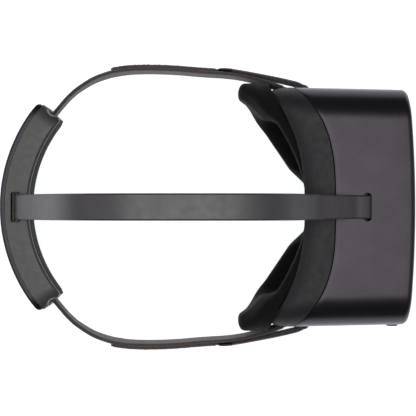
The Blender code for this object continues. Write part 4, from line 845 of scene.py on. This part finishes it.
def build_top_strap():
    """The top strap: the sleeve section along its line, narrower at the body, and the lead inside it."""
    soft = bpy.context.scene.headset_soft
    line = smooth_route([(x * MM, 0, z * MM) for x, z in TOP_ROUTE], 420)
    x, z = line[:, 0], line[:, 2]
    hidden = ((x < 0) & (z < REAR_HEIGHT - 13 * MM)) | ((x > 100 * MM) & (z < HEIGHT - 15 * MM))
    sleeve = line[~hidden]
    width = soft.top_width - 1.85 * MM * smoothstep((sleeve[:, 0] - 60 * MM) / (50 * MM))
    strap = band("top_sleeve", sleeve, ALONG_Y, soft.top_thickness, width, sleeve_section(), "strap_rubber")
    bends(strap, "rear_unit", TOP_BEND, "strap_rubber", "top_strap")
    lead = band("inner_lead", line, ALONG_Y, 0.6 * MM, 11.4 * MM, soft_section(16, 0.5), "lead_sheath")
    bends(lead, "rear_unit", TOP_BEND, "lead_sheath", "battery_lead")


# --- cushion ---------------------------------------------------------------------------------------

BROW_CENTRE, BROW_DROP, BROW_REACH, BROW_POWER = 76 * MM, 9.2 * MM, 39.5 * MM, 1.88
CHEEK_CENTRE, CHEEK_SLOPE, CHEEK_BEND, CHEEK_LIMIT = 87.6 * MM, 0.68, 6 * MM, 81 * MM
WING_REACH, WING_LEAN = 19 * MM, 11 * MM
CUSHION_CLEAR, CUSHION_HALF = 14.5 * MM, 6 * MM
FLANGE, FLANGE_FOOT = 9.5 * MM, 3.5 * MM
CHANNEL_TURN, CHANNEL_DEPTH = 1.62 * math.pi, 0.6 * MM


def cushion_back_x(y, z):
    """Plan of the cushion's rear surface: a curve for the brow, and for the cheeks a line with bent ends."""
    aside = np.abs(y)
    brow = BROW_CENTRE - BROW_DROP * (aside / BROW_REACH) ** BROW_POWER
    brow -= WING_REACH * smoothstep((aside - 62 * MM) / (14 * MM))
    cheek = CHEEK_CENTRE - CHEEK_SLOPE * aside - CHEEK_BEND * smoothstep((aside - 58 * MM) / (20 * MM))
    cheek = np.minimum(cheek + CHEEK_BEND * smoothstep((32 * MM - aside) / (14 * MM)), CHEEK_LIMIT)
    return brow + (cheek - brow) * smoothstep((MIDDLE - z) / (20 * MM))


def build_cushion():
    """The face cushion: a rounded section carried round the opening, widening into a flange at the temples.

    The section is a squared-off circle. Towards the back its outer side swells into the flange, first steeply
    behind the face frame's edge and then gently, and a narrow channel runs round it where the panels join.
    """
    clear = CUSHION_CLEAR
    notch = bpy.context.scene.headset_body.nose_rise + 4 * MM
    y, z = outline(HALF_REAR - clear, clear - 1 * MM, HEIGHT - clear + 1 * MM, 14 * MM, notch)
    slope_y, slope_z = np.roll(y, -1) - np.roll(y, 1), np.roll(z, -1) - np.roll(z, 1)
    size_of = np.hypot(slope_y, slope_z)
    out_y, out_z = slope_z / size_of, -slope_y / size_of
    side = smoothstep((np.abs(y) - 45 * MM) / (25 * MM)) * np.abs(out_y)
    wing = smoothstep((np.abs(y) - 58 * MM) / (14 * MM)) * np.sign(y)
    back = cushion_back_x(y, z)
    edge = frame_x(np.minimum(np.abs(y + out_y * 8 * MM), 86 * MM)) - 0.8 * MM
    rings = []
    for turn in np.linspace(0, 2 * math.pi, 160, endpoint=False):
        wide, deep = (math.copysign(abs(part) ** 0.7, part) for part in (math.cos(turn), math.sin(turn)))
        share = (1 - deep) / 2
        half = CUSHION_HALF + 3.1 * MM * side * share
        front = frame_x(y + out_y * half * wide) + 9.3 * MM
        x = back + (front - back) * (1 - share)
        behind = edge - x
        flare = 0.85 * smoothstep(behind / (1.2 * MM)) + 0.15 * smoothstep(behind / (16 * MM))
        channel = CHANNEL_DEPTH * bell(turn - CHANNEL_TURN, 0.05)
        channel += CHANNEL_DEPTH * bell(turn - math.pi - CHANNEL_TURN, 0.05)
        lean = WING_LEAN * smoothstep((48 * MM - x) / (20 * MM))
        spread = FLANGE + FLANGE_FOOT * (1 - smoothstep(behind / (9 * MM)))
        swell = spread * flare * (1 - smoothstep((46 * MM - x) / (16 * MM))) * smoothstep((wide + 0.25) / 0.9)
        off = half * wide + side * swell - channel * np.sign(wide)
        rings.append(ring_at(y + out_y * off + wing * lean, z + out_z * off, x))
    cushion = surface("knit_cushion", rings, "knit", wrap=True, crease=80)
    rides_with(cushion, "face_cushion", slot="knit")


# --- rear unit -------------------------------------------------------------------------------------


def end_share(angle, span, reach):
    """How far a place lies into the last stretch before either end: 0 before it, 1 at the end."""
    distance = np.radians(span - np.abs(angle)) * 112 * MM
    return np.clip(1 - distance / reach, 0, 1)


def quarter_drop(share, radius):
    """Drop of a quarter ellipse along its run."""
    return radius * (1 - np.sqrt(np.clip(1 - share**2, 0, 1)))


def stations(span):
    """Angles from one end to the other, closer together near both ends."""
    near = span - 7.5 * (1 - np.sin(np.linspace(0, math.pi / 2, 30)))
    return np.concatenate([-near[::-1], np.linspace(-near[0], near[0], 90)[1:-1], near])


def swept(name, section_at, angles, finish="black_plastic", crease=40):
    """A closed section of (radius, height) pairs, given for each angle, carried round the rear axis."""
    rings = [[rear_point(radius, angle, height) for radius, height in section_at(angle)] for angle in angles]
    return surface(name, rings, finish, crease=crease)


def rear_case_section(angle):
    """The housing's section: a rounded lip over the pad, a step behind the pad and a smaller lip below it."""
    inset = quarter_drop(end_share(angle, CASE_SPAN, 3.5 * MM), 3.5 * MM)
    drop = quarter_drop(end_share(angle, CASE_SPAN, END_REACH), END_DROP)
    top, low = REAR_HEIGHT - drop, drop
    inner, outer = LIP_INNER + inset, REAR_FACE - GAP
    back = REAR_BACK + GAP + inset
    lip, step = 2.4 * MM, top - 3 * MM
    return np.concatenate([
        [(outer, top), ((outer + inner) / 2, top)], arc_points((inner + lip, top - lip), lip, 90, 180),
        [(inner, step), (back, step)], arc_points((back + lip, low + lip), lip, 180, 270),
        [((outer + back) / 2, low), (outer, low)],
    ])


def rear_band_section(angle):
    """The outer band's section: rounded along its outer edges."""
    inset = quarter_drop(end_share(angle, BAND_SPAN, 3.5 * MM), 3 * MM)
    drop = quarter_drop(end_share(angle, BAND_SPAN, END_REACH), END_DROP)
    outer = REAR_OUTER - GAP - inset
    top, low, edge = REAR_HEIGHT - drop, drop, 1.6 * MM
    return np.concatenate([
        [(REAR_FACE, low)], arc_points((outer - edge, low + edge), edge, -90, 0),
        arc_points((outer - edge, top - edge), edge, 0, 90), [(REAR_FACE, top)],
    ])


def rear_pad_section(angle):
    """The pad's section: leans back towards its foot, crowned, with a stitched channel near its edge."""
    near_end = end_share(angle, PAD_SPAN, 6 * MM)
    half = REAR_HEIGHT / 2 - 4 * MM - quarter_drop(end_share(angle, PAD_SPAN, 12 * MM), END_DROP)
    turn = np.linspace(0, 2 * math.pi, 72, endpoint=False)
    up = np.sign(np.sin(turn)) * np.abs(np.sin(turn)) ** 0.5
    deep = np.sign(np.cos(turn)) * np.abs(np.cos(turn)) ** 0.6
    height = REAR_HEIGHT / 2 + up * half
    lean = 2.6 * MM * np.clip(1 - height / (34 * MM), 0, 1)
    face = LIP_INNER + 0.6 * MM + lean + 1.2 * MM * np.abs(up) ** 6 + 2 * MM * near_end**3
    stitch = 0.7 * MM * bell(np.abs(up) - 0.88, 0.025) * (1 - near_end)
    radius = REAR_BACK - (REAR_BACK - face - stitch) * np.maximum(deep, 0)
    return np.stack([radius, height], 1)


def build_rear_pad():
    """The rear pad, carried round the rear unit's inner face."""
    pad = swept("rear_cushion", rear_pad_section, stations(PAD_SPAN), "knit", crease=80)
    rides_with(pad, "rear_pad", slot="knit")


def room_cutter(inner, outer, span):
    """A cutter for a room behind a wall: a rectangle drawn in towards the rear unit's ends."""

    def section(angle):
        low = 2 * MM + quarter_drop(end_share(angle, CASE_SPAN, END_REACH), END_DROP)
        return [(inner, low), (outer, low), (outer, REAR_HEIGHT - low), (inner, REAR_HEIGHT - low)]

    return swept("cutter", section, stations(span - 1.2))


def boot_cutters(side, word):
    """Cutters at one end of the housing: a window for the strap's boot and a scoop that widens upwards."""
    low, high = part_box("strap_boot_" + word)
    r0, r1, z0, z1 = 107.8 * MM, 116.2 * MM, low.z - GAP, high.z + GAP
    window = [(r0, z0), (r1, z0), (r1, z1), (r0, z1)]
    profile = [(-1 * MM, 6.6 * MM), (REAR_HEIGHT - 7.5 * MM, 6.6 * MM), (REAR_HEIGHT + 2 * MM, 8.2 * MM)]
    centre = rear_point(111.8 * MM, 43.1, 0) * (1, side, 1)
    return [
        swept("cutter", lambda angle: window, np.linspace(35.3, 41.5, 8) * side),
        turned("cutter", profile, centre, ALONG_Z, steps=64),
    ]


def build_rear():
    """The rear unit: the outer band and the housing, hollow behind their walls, with a scoop at each end."""
    outer_band = swept("rear_band", rear_band_section, stations(BAND_SPAN), "satin_shell")
    carved(outer_band, [room_cutter(REAR_FACE - 1 * MM, REAR_OUTER - 2 * MM, BAND_SPAN)], "MANIFOLD")
    rides_with(outer_band, "rear_shell", slot="satin_shell")

    housing = swept("rear_case", rear_case_section, stations(CASE_SPAN), "grey_housing")
    back = REAR_BACK + GAP
    cutters = [room_cutter(back + 2 * MM, REAR_FACE + 3 * MM, CASE_SPAN)]
    for side, word in SIDES:
        cutters += boot_cutters(side, word)
    slot_plan = rounded_plan(REAR_LOW.x + 8.9 * MM, REAR_LOW.x + 16.1 * MM, 11.2 * MM, 1.8 * MM)
    cutters.append(prism(slot_plan, REAR_HEIGHT - 5 * MM, REAR_HEIGHT - 0.5 * MM, 0.8 * MM))
    for place in range(1, 5):
        centre = sum(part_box(f"rear_screw_{place}"), Vector()) / 2
        out = np.array((centre.x - REAR_CENTRE_X, centre.y, 0))
        out /= np.linalg.norm(out)
        start = np.array((REAR_CENTRE_X, 0, centre.z)) + out * (back - 2 * MM)
        cutters.append(drill(start, out, 5 * MM, 2.7 * MM, 24))
    carved(housing, cutters, "MANIFOLD")
    rides_with(housing, "rear_housing", slot="grey_housing")


# --- keys, optics and inner pieces -----------------------------------------------------------------

SIDE_FINISHES = (
    ("barrel_", "lens_barrel_", "black_plastic"), ("pocket_", "strap_pocket_", "black_plastic"),
    ("bar_", "strap_bar_", "steel"), ("boot_", "strap_boot_", "black_plastic"),
)
SMALL_FINISHES = (
    ("lens_panel", "black_plastic"), ("power_key", "black_plastic"), ("volume_rocker", "black_plastic"),
    ("usb_socket", "steel"), ("audio_jack", "black_plastic"), ("proximity_window", "black_gloss"),
)
NODE_FINISHES = {
    "black_plastic": (
        "cushion_carrier", "optics_bracket", "speaker_left", "speaker_right", "front_clamp", "rear_clamp",
    ),
    "board": ("mainboard", "key_board", "protection_board"),
    "steel": ("chip_shield",),
    "aluminium": ("heat_spreader", "microphone"),
    "display": ("display_left", "display_right"),
    "cell_wrap": ("battery_cell_left", "battery_cell_right"),
}


def build_key(key):
    """A key's cap, turned: a dish with a small raised middle, a rounded rim and a flange behind."""
    low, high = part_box(key)
    start = ((low.x + high.x) / 2, low.y, (low.z + high.z) / 2)
    r, flange, deep = KEY_RADIUS, (high.x - low.x) / 2, high.y - low.y
    profile = [
        (0.5 * MM, 0.05 * r), (0.45 * MM, 0.3 * r), (0.3 * MM, 0.5 * r), (0.04 * MM, 0.6 * r), (0, 0.66 * r),
        (0, 0.8 * r), (0.12 * MM, 0.9 * r), (0.4 * MM, 0.98 * r), (0.7 * MM, r), (deep - 1.2 * MM, r),
        (deep - 1.2 * MM, flange), (deep, flange), (deep, 0.05 * r),
    ]
    rides_with(turned(key + "_cap", profile, start, ALONG_Y), key, slot="black_plastic")


def build_lens(word):
    """A lens, turned: an elliptical dome towards the eye, a rim and a flatter cone behind."""
    low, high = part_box("lens_" + word)
    radius, sag, deep = (high.y - low.y) / 2, 3.2 * MM, high.x - low.x
    start = (low.x, (low.y + high.y) / 2, (low.z + high.z) / 2)
    dome = [(sag * (1 - math.cos(t)), radius * math.sin(t)) for t in np.linspace(0.03, math.pi / 2, 20)]
    flat = [(deep - 1.3 * MM, radius), (deep - 0.4 * MM, 0.6 * radius), (deep, 0.03 * radius)]
    lens = turned("clear_lens_" + word, dome + flat, start, (1, 0, 0), "lens", 96)
    rides_with(lens, "lens_" + word, slot="lens")


def build_details():
    """The keys and lenses turned afresh, smooth merged copies of small hard pieces, and finishes inside."""
    for key in KEY_NODES:
        build_key(key)
    for _, word in SIDES:
        build_lens(word)
        for name, node, finish in SIDE_FINISHES:
            refined(name + word, node + word, finish)
    for node, finish in SMALL_FINISHES:
        refined(node + "_smooth", node, finish)
    for place in range(1, 5):
        refined(f"panel_fastener_{place}", f"panel_screw_{place}", "steel")
        refined(f"rear_fastener_{place}", f"rear_screw_{place}", "steel")
    for finish, nodes in NODE_FINISHES.items():
        for node in nodes:
            NODES[node].data.materials.clear()
            NODES[node].data.materials.append(LOOKS[finish])


# --- stage -----------------------------------------------------------------------------------------

FLOOR_REACH, FLOOR_LEVEL = 30.0, -0.4 * MM
CAMERA_PLACE, CAMERA_LENS = (2.3 * MM, -0.7 * MM, 1173 * MM), 125.9
SKY_STRENGTH = 2.6
SKY_ACROSS = ((0.08, 1.0), (0.22, 0.45), (0.42, 0.16), (0.65, 0.05), (1.0, 0.05))
SKY_UPWARD = ((0.0, 0.12), (0.64, 0.25), (0.87, 0.5), (0.97, 0.9), (1.0, 1.0))


def add_object(name, data, place):
    """A new object at a place."""
    made = bpy.data.objects.new(name, data)
    bpy.context.scene.collection.objects.link(made)
    made.location = place
    return made


def area_light(name, place, target, extent, power):
    """A square light that faces a point."""
    data = bpy.data.lights.new(name, "AREA")
    data.energy, data.size = power, extent
    lamp = add_object(name, data, place)
    lamp.rotation_euler = (Vector(target) - Vector(place)).to_track_quat("-Z", "Y").to_euler()


def build_floor():
    """A pale floor whose own faint light fades with distance."""
    reach = FLOOR_REACH
    mesh = bpy.data.meshes.new("floor")
    corners = [(-reach, -reach, 0), (reach, -reach, 0), (reach, reach, 0), (-reach, reach, 0)]
    mesh.from_pydata(corners, [], [(0, 1, 2, 3)])
    glow = {SPECULAR: 0.0, "Emission Color": (0.95, 0.98, 1.04, 1)}
    pale = Finish("pale_floor", (0.6, 0.6, 0.6), 0.9, glow)
    pale.shade(pale.noise(2), 0.995, 1.005)
    distance = pale.node("ShaderNodeVectorMath", {0: pale.place}, operation="LENGTH").outputs["Value"]
    pale.feed(pale.inputs["Emission Strength"], pale.ramp(distance, 0.3, 1.4, 0.9, 0.1))
    mesh.materials.append(pale.material)
    add_object("floor", mesh, (0, 0, FLOOR_LEVEL))


def grey_ramp(sky, source, stops):
    """A grey ramp through stops of (place, level) on a value between 0 and 1."""
    made = sky.node("ShaderNodeValToRGB", {"Fac": source})
    elements = made.color_ramp.elements
    elements[0].position, elements[1].position = stops[0][0], stops[-1][0]
    for place, _ in stops[1:-1]:
        elements.new(place)
    for element, (_, level) in zip(elements, stops):
        element.color = (level, level, level, 1)
    return made.outputs["Color"]


def build_sky():
    """A soft strip light overhead: a ramp across, times a ramp upwards."""
    world = bpy.data.worlds.new("studio")
    world.use_nodes = True
    bpy.context.scene.world = world
    sky = Nodes(world.node_tree)
    direction = sky.node("ShaderNodeTexCoord").outputs["Generated"]
    parts = sky.node("ShaderNodeSeparateXYZ", {"Vector": direction}).outputs
    sideways = sky.node("ShaderNodeMath", {0: parts["Y"]}, operation="ABSOLUTE").outputs["Value"]
    product = sky.node("ShaderNodeMix", {"Factor": 1.0}, data_type="RGBA", blend_type="MULTIPLY")
    levels = grey_ramp(sky, sideways, SKY_ACROSS), grey_ramp(sky, parts["Z"], SKY_UPWARD)
    for socket, level in zip(coloured(product.inputs), levels):
        sky.feed(socket, level)
    background = world.node_tree.nodes["Background"].inputs
    sky.feed(background["Color"], coloured(product.outputs)[0])
    background["Strength"].default_value = SKY_STRENGTH


def build_stage():
    """The floor, the sky, two soft lights and the camera straight above the headset."""
    scene = bpy.context.scene
    build_floor()
    build_sky()
    area_light("overhead", (0.0, 0.0, 2.2), (0, 0, 0), 0.8, 3)
    area_light("rear_fill", (-1.5, 0.0, 0.9), (-0.05, 0, 0.1), 0.9, 0.8)
    data = bpy.data.cameras.new("camera")
    data.lens, data.sensor_width = CAMERA_LENS, 36
    scene.camera = add_object("camera", data, CAMERA_PLACE)
    scene.view_settings.view_transform = "Standard"


# --- operators and panel ---------------------------------------------------------------------------


def run(*builders):
    """Makes the finishes if they are missing and runs the builders in order."""
    make_finishes()
    for build in builders:
        build()
    return {"FINISHED"}


class HEADSET_OT_stage(bpy.types.Operator):
    """Build the floor, the lights, the backdrop light and the camera"""

    bl_idname = "headset.stage"
    bl_label = "Stage"

    def execute(self, context):
        return run(build_stage)


class HEADSET_OT_shells(bpy.types.Operator):
    """Build the front shell, the front cover and the face frame"""

    bl_idname = "headset.shells"
    bl_label = "Shells"

    def execute(self, context):
        return run(build_shell, build_cover, build_frame)


class HEADSET_OT_rear_unit(bpy.types.Operator):
    """Build the rear unit's band and housing"""

    bl_idname = "headset.rear_unit"
    bl_label = "Rear unit"

    def execute(self, context):
        return run(build_rear)


class HEADSET_OT_details(bpy.types.Operator):
    """Build the keys, the optics and the other small pieces"""

    bl_idname = "headset.details"
    bl_label = "Details"

    def execute(self, context):
        return run(build_details)


class HEADSET_OT_straps(bpy.types.Operator):
    """Build the side straps with their pile, tails and tabs, and the top strap"""

    bl_idname = "headset.straps"
    bl_label = "Straps"

    def execute(self, context):
        make_finishes()
        for side, word in SIDES:
            build_pile(side, word, build_side_strap(side, word))
            build_tail(side, word)
            build_tab(side, word)
        return run(build_top_strap)


class HEADSET_OT_cushions(bpy.types.Operator):
    """Build the face cushion and the rear pad"""

    bl_idname = "headset.cushions"
    bl_label = "Cushions"

    def execute(self, context):
        return run(build_cushion, build_rear_pad)


GROUPS = (
    ("headset_body", HEADSET_PG_body),
    ("headset_soft", HEADSET_PG_soft),
    ("headset_colours", HEADSET_PG_colours),
)
STEPS = (
    HEADSET_OT_stage, HEADSET_OT_shells, HEADSET_OT_rear_unit, HEADSET_OT_details, HEADSET_OT_straps,
    HEADSET_OT_cushions,
)


class HEADSET_PT_panel(bpy.types.Panel):
    """The headset's operators and sizes"""

    bl_idname = "HEADSET_PT_panel"
    bl_label = "VR Headset"
    bl_space_type = "VIEW_3D"
    bl_region_type = "UI"
    bl_category = "Headset"

    def draw(self, context):
        for step in STEPS:
            self.layout.operator(step.bl_idname)
        for name, kind in GROUPS:
            column = self.layout.column()
            for key in kind.__annotations__:
                column.prop(getattr(context.scene, name), key)


def register():
    """Adds the classes and their properties."""
    for name, group in GROUPS:
        bpy.utils.register_class(group)
        setattr(bpy.types.Scene, name, bpy.props.PointerProperty(type=group))
    for kind in (*STEPS, HEADSET_PT_panel):
        bpy.utils.register_class(kind)


def unregister():
    """Takes the classes and their properties away."""
    for kind in (HEADSET_PT_panel, *reversed(STEPS)):
        bpy.utils.unregister_class(kind)
    for name, group in reversed(GROUPS):
        delattr(bpy.types.Scene, name)
        bpy.utils.unregister_class(group)


def main():
    """Builds everything in order."""
    register()
    bpy.ops.headset.stage()
    bpy.ops.headset.shells()
    bpy.ops.headset.rear_unit()
    bpy.ops.headset.details()
    bpy.ops.headset.straps()
    bpy.ops.headset.cushions()


if __name__ == "__main__":
    main()
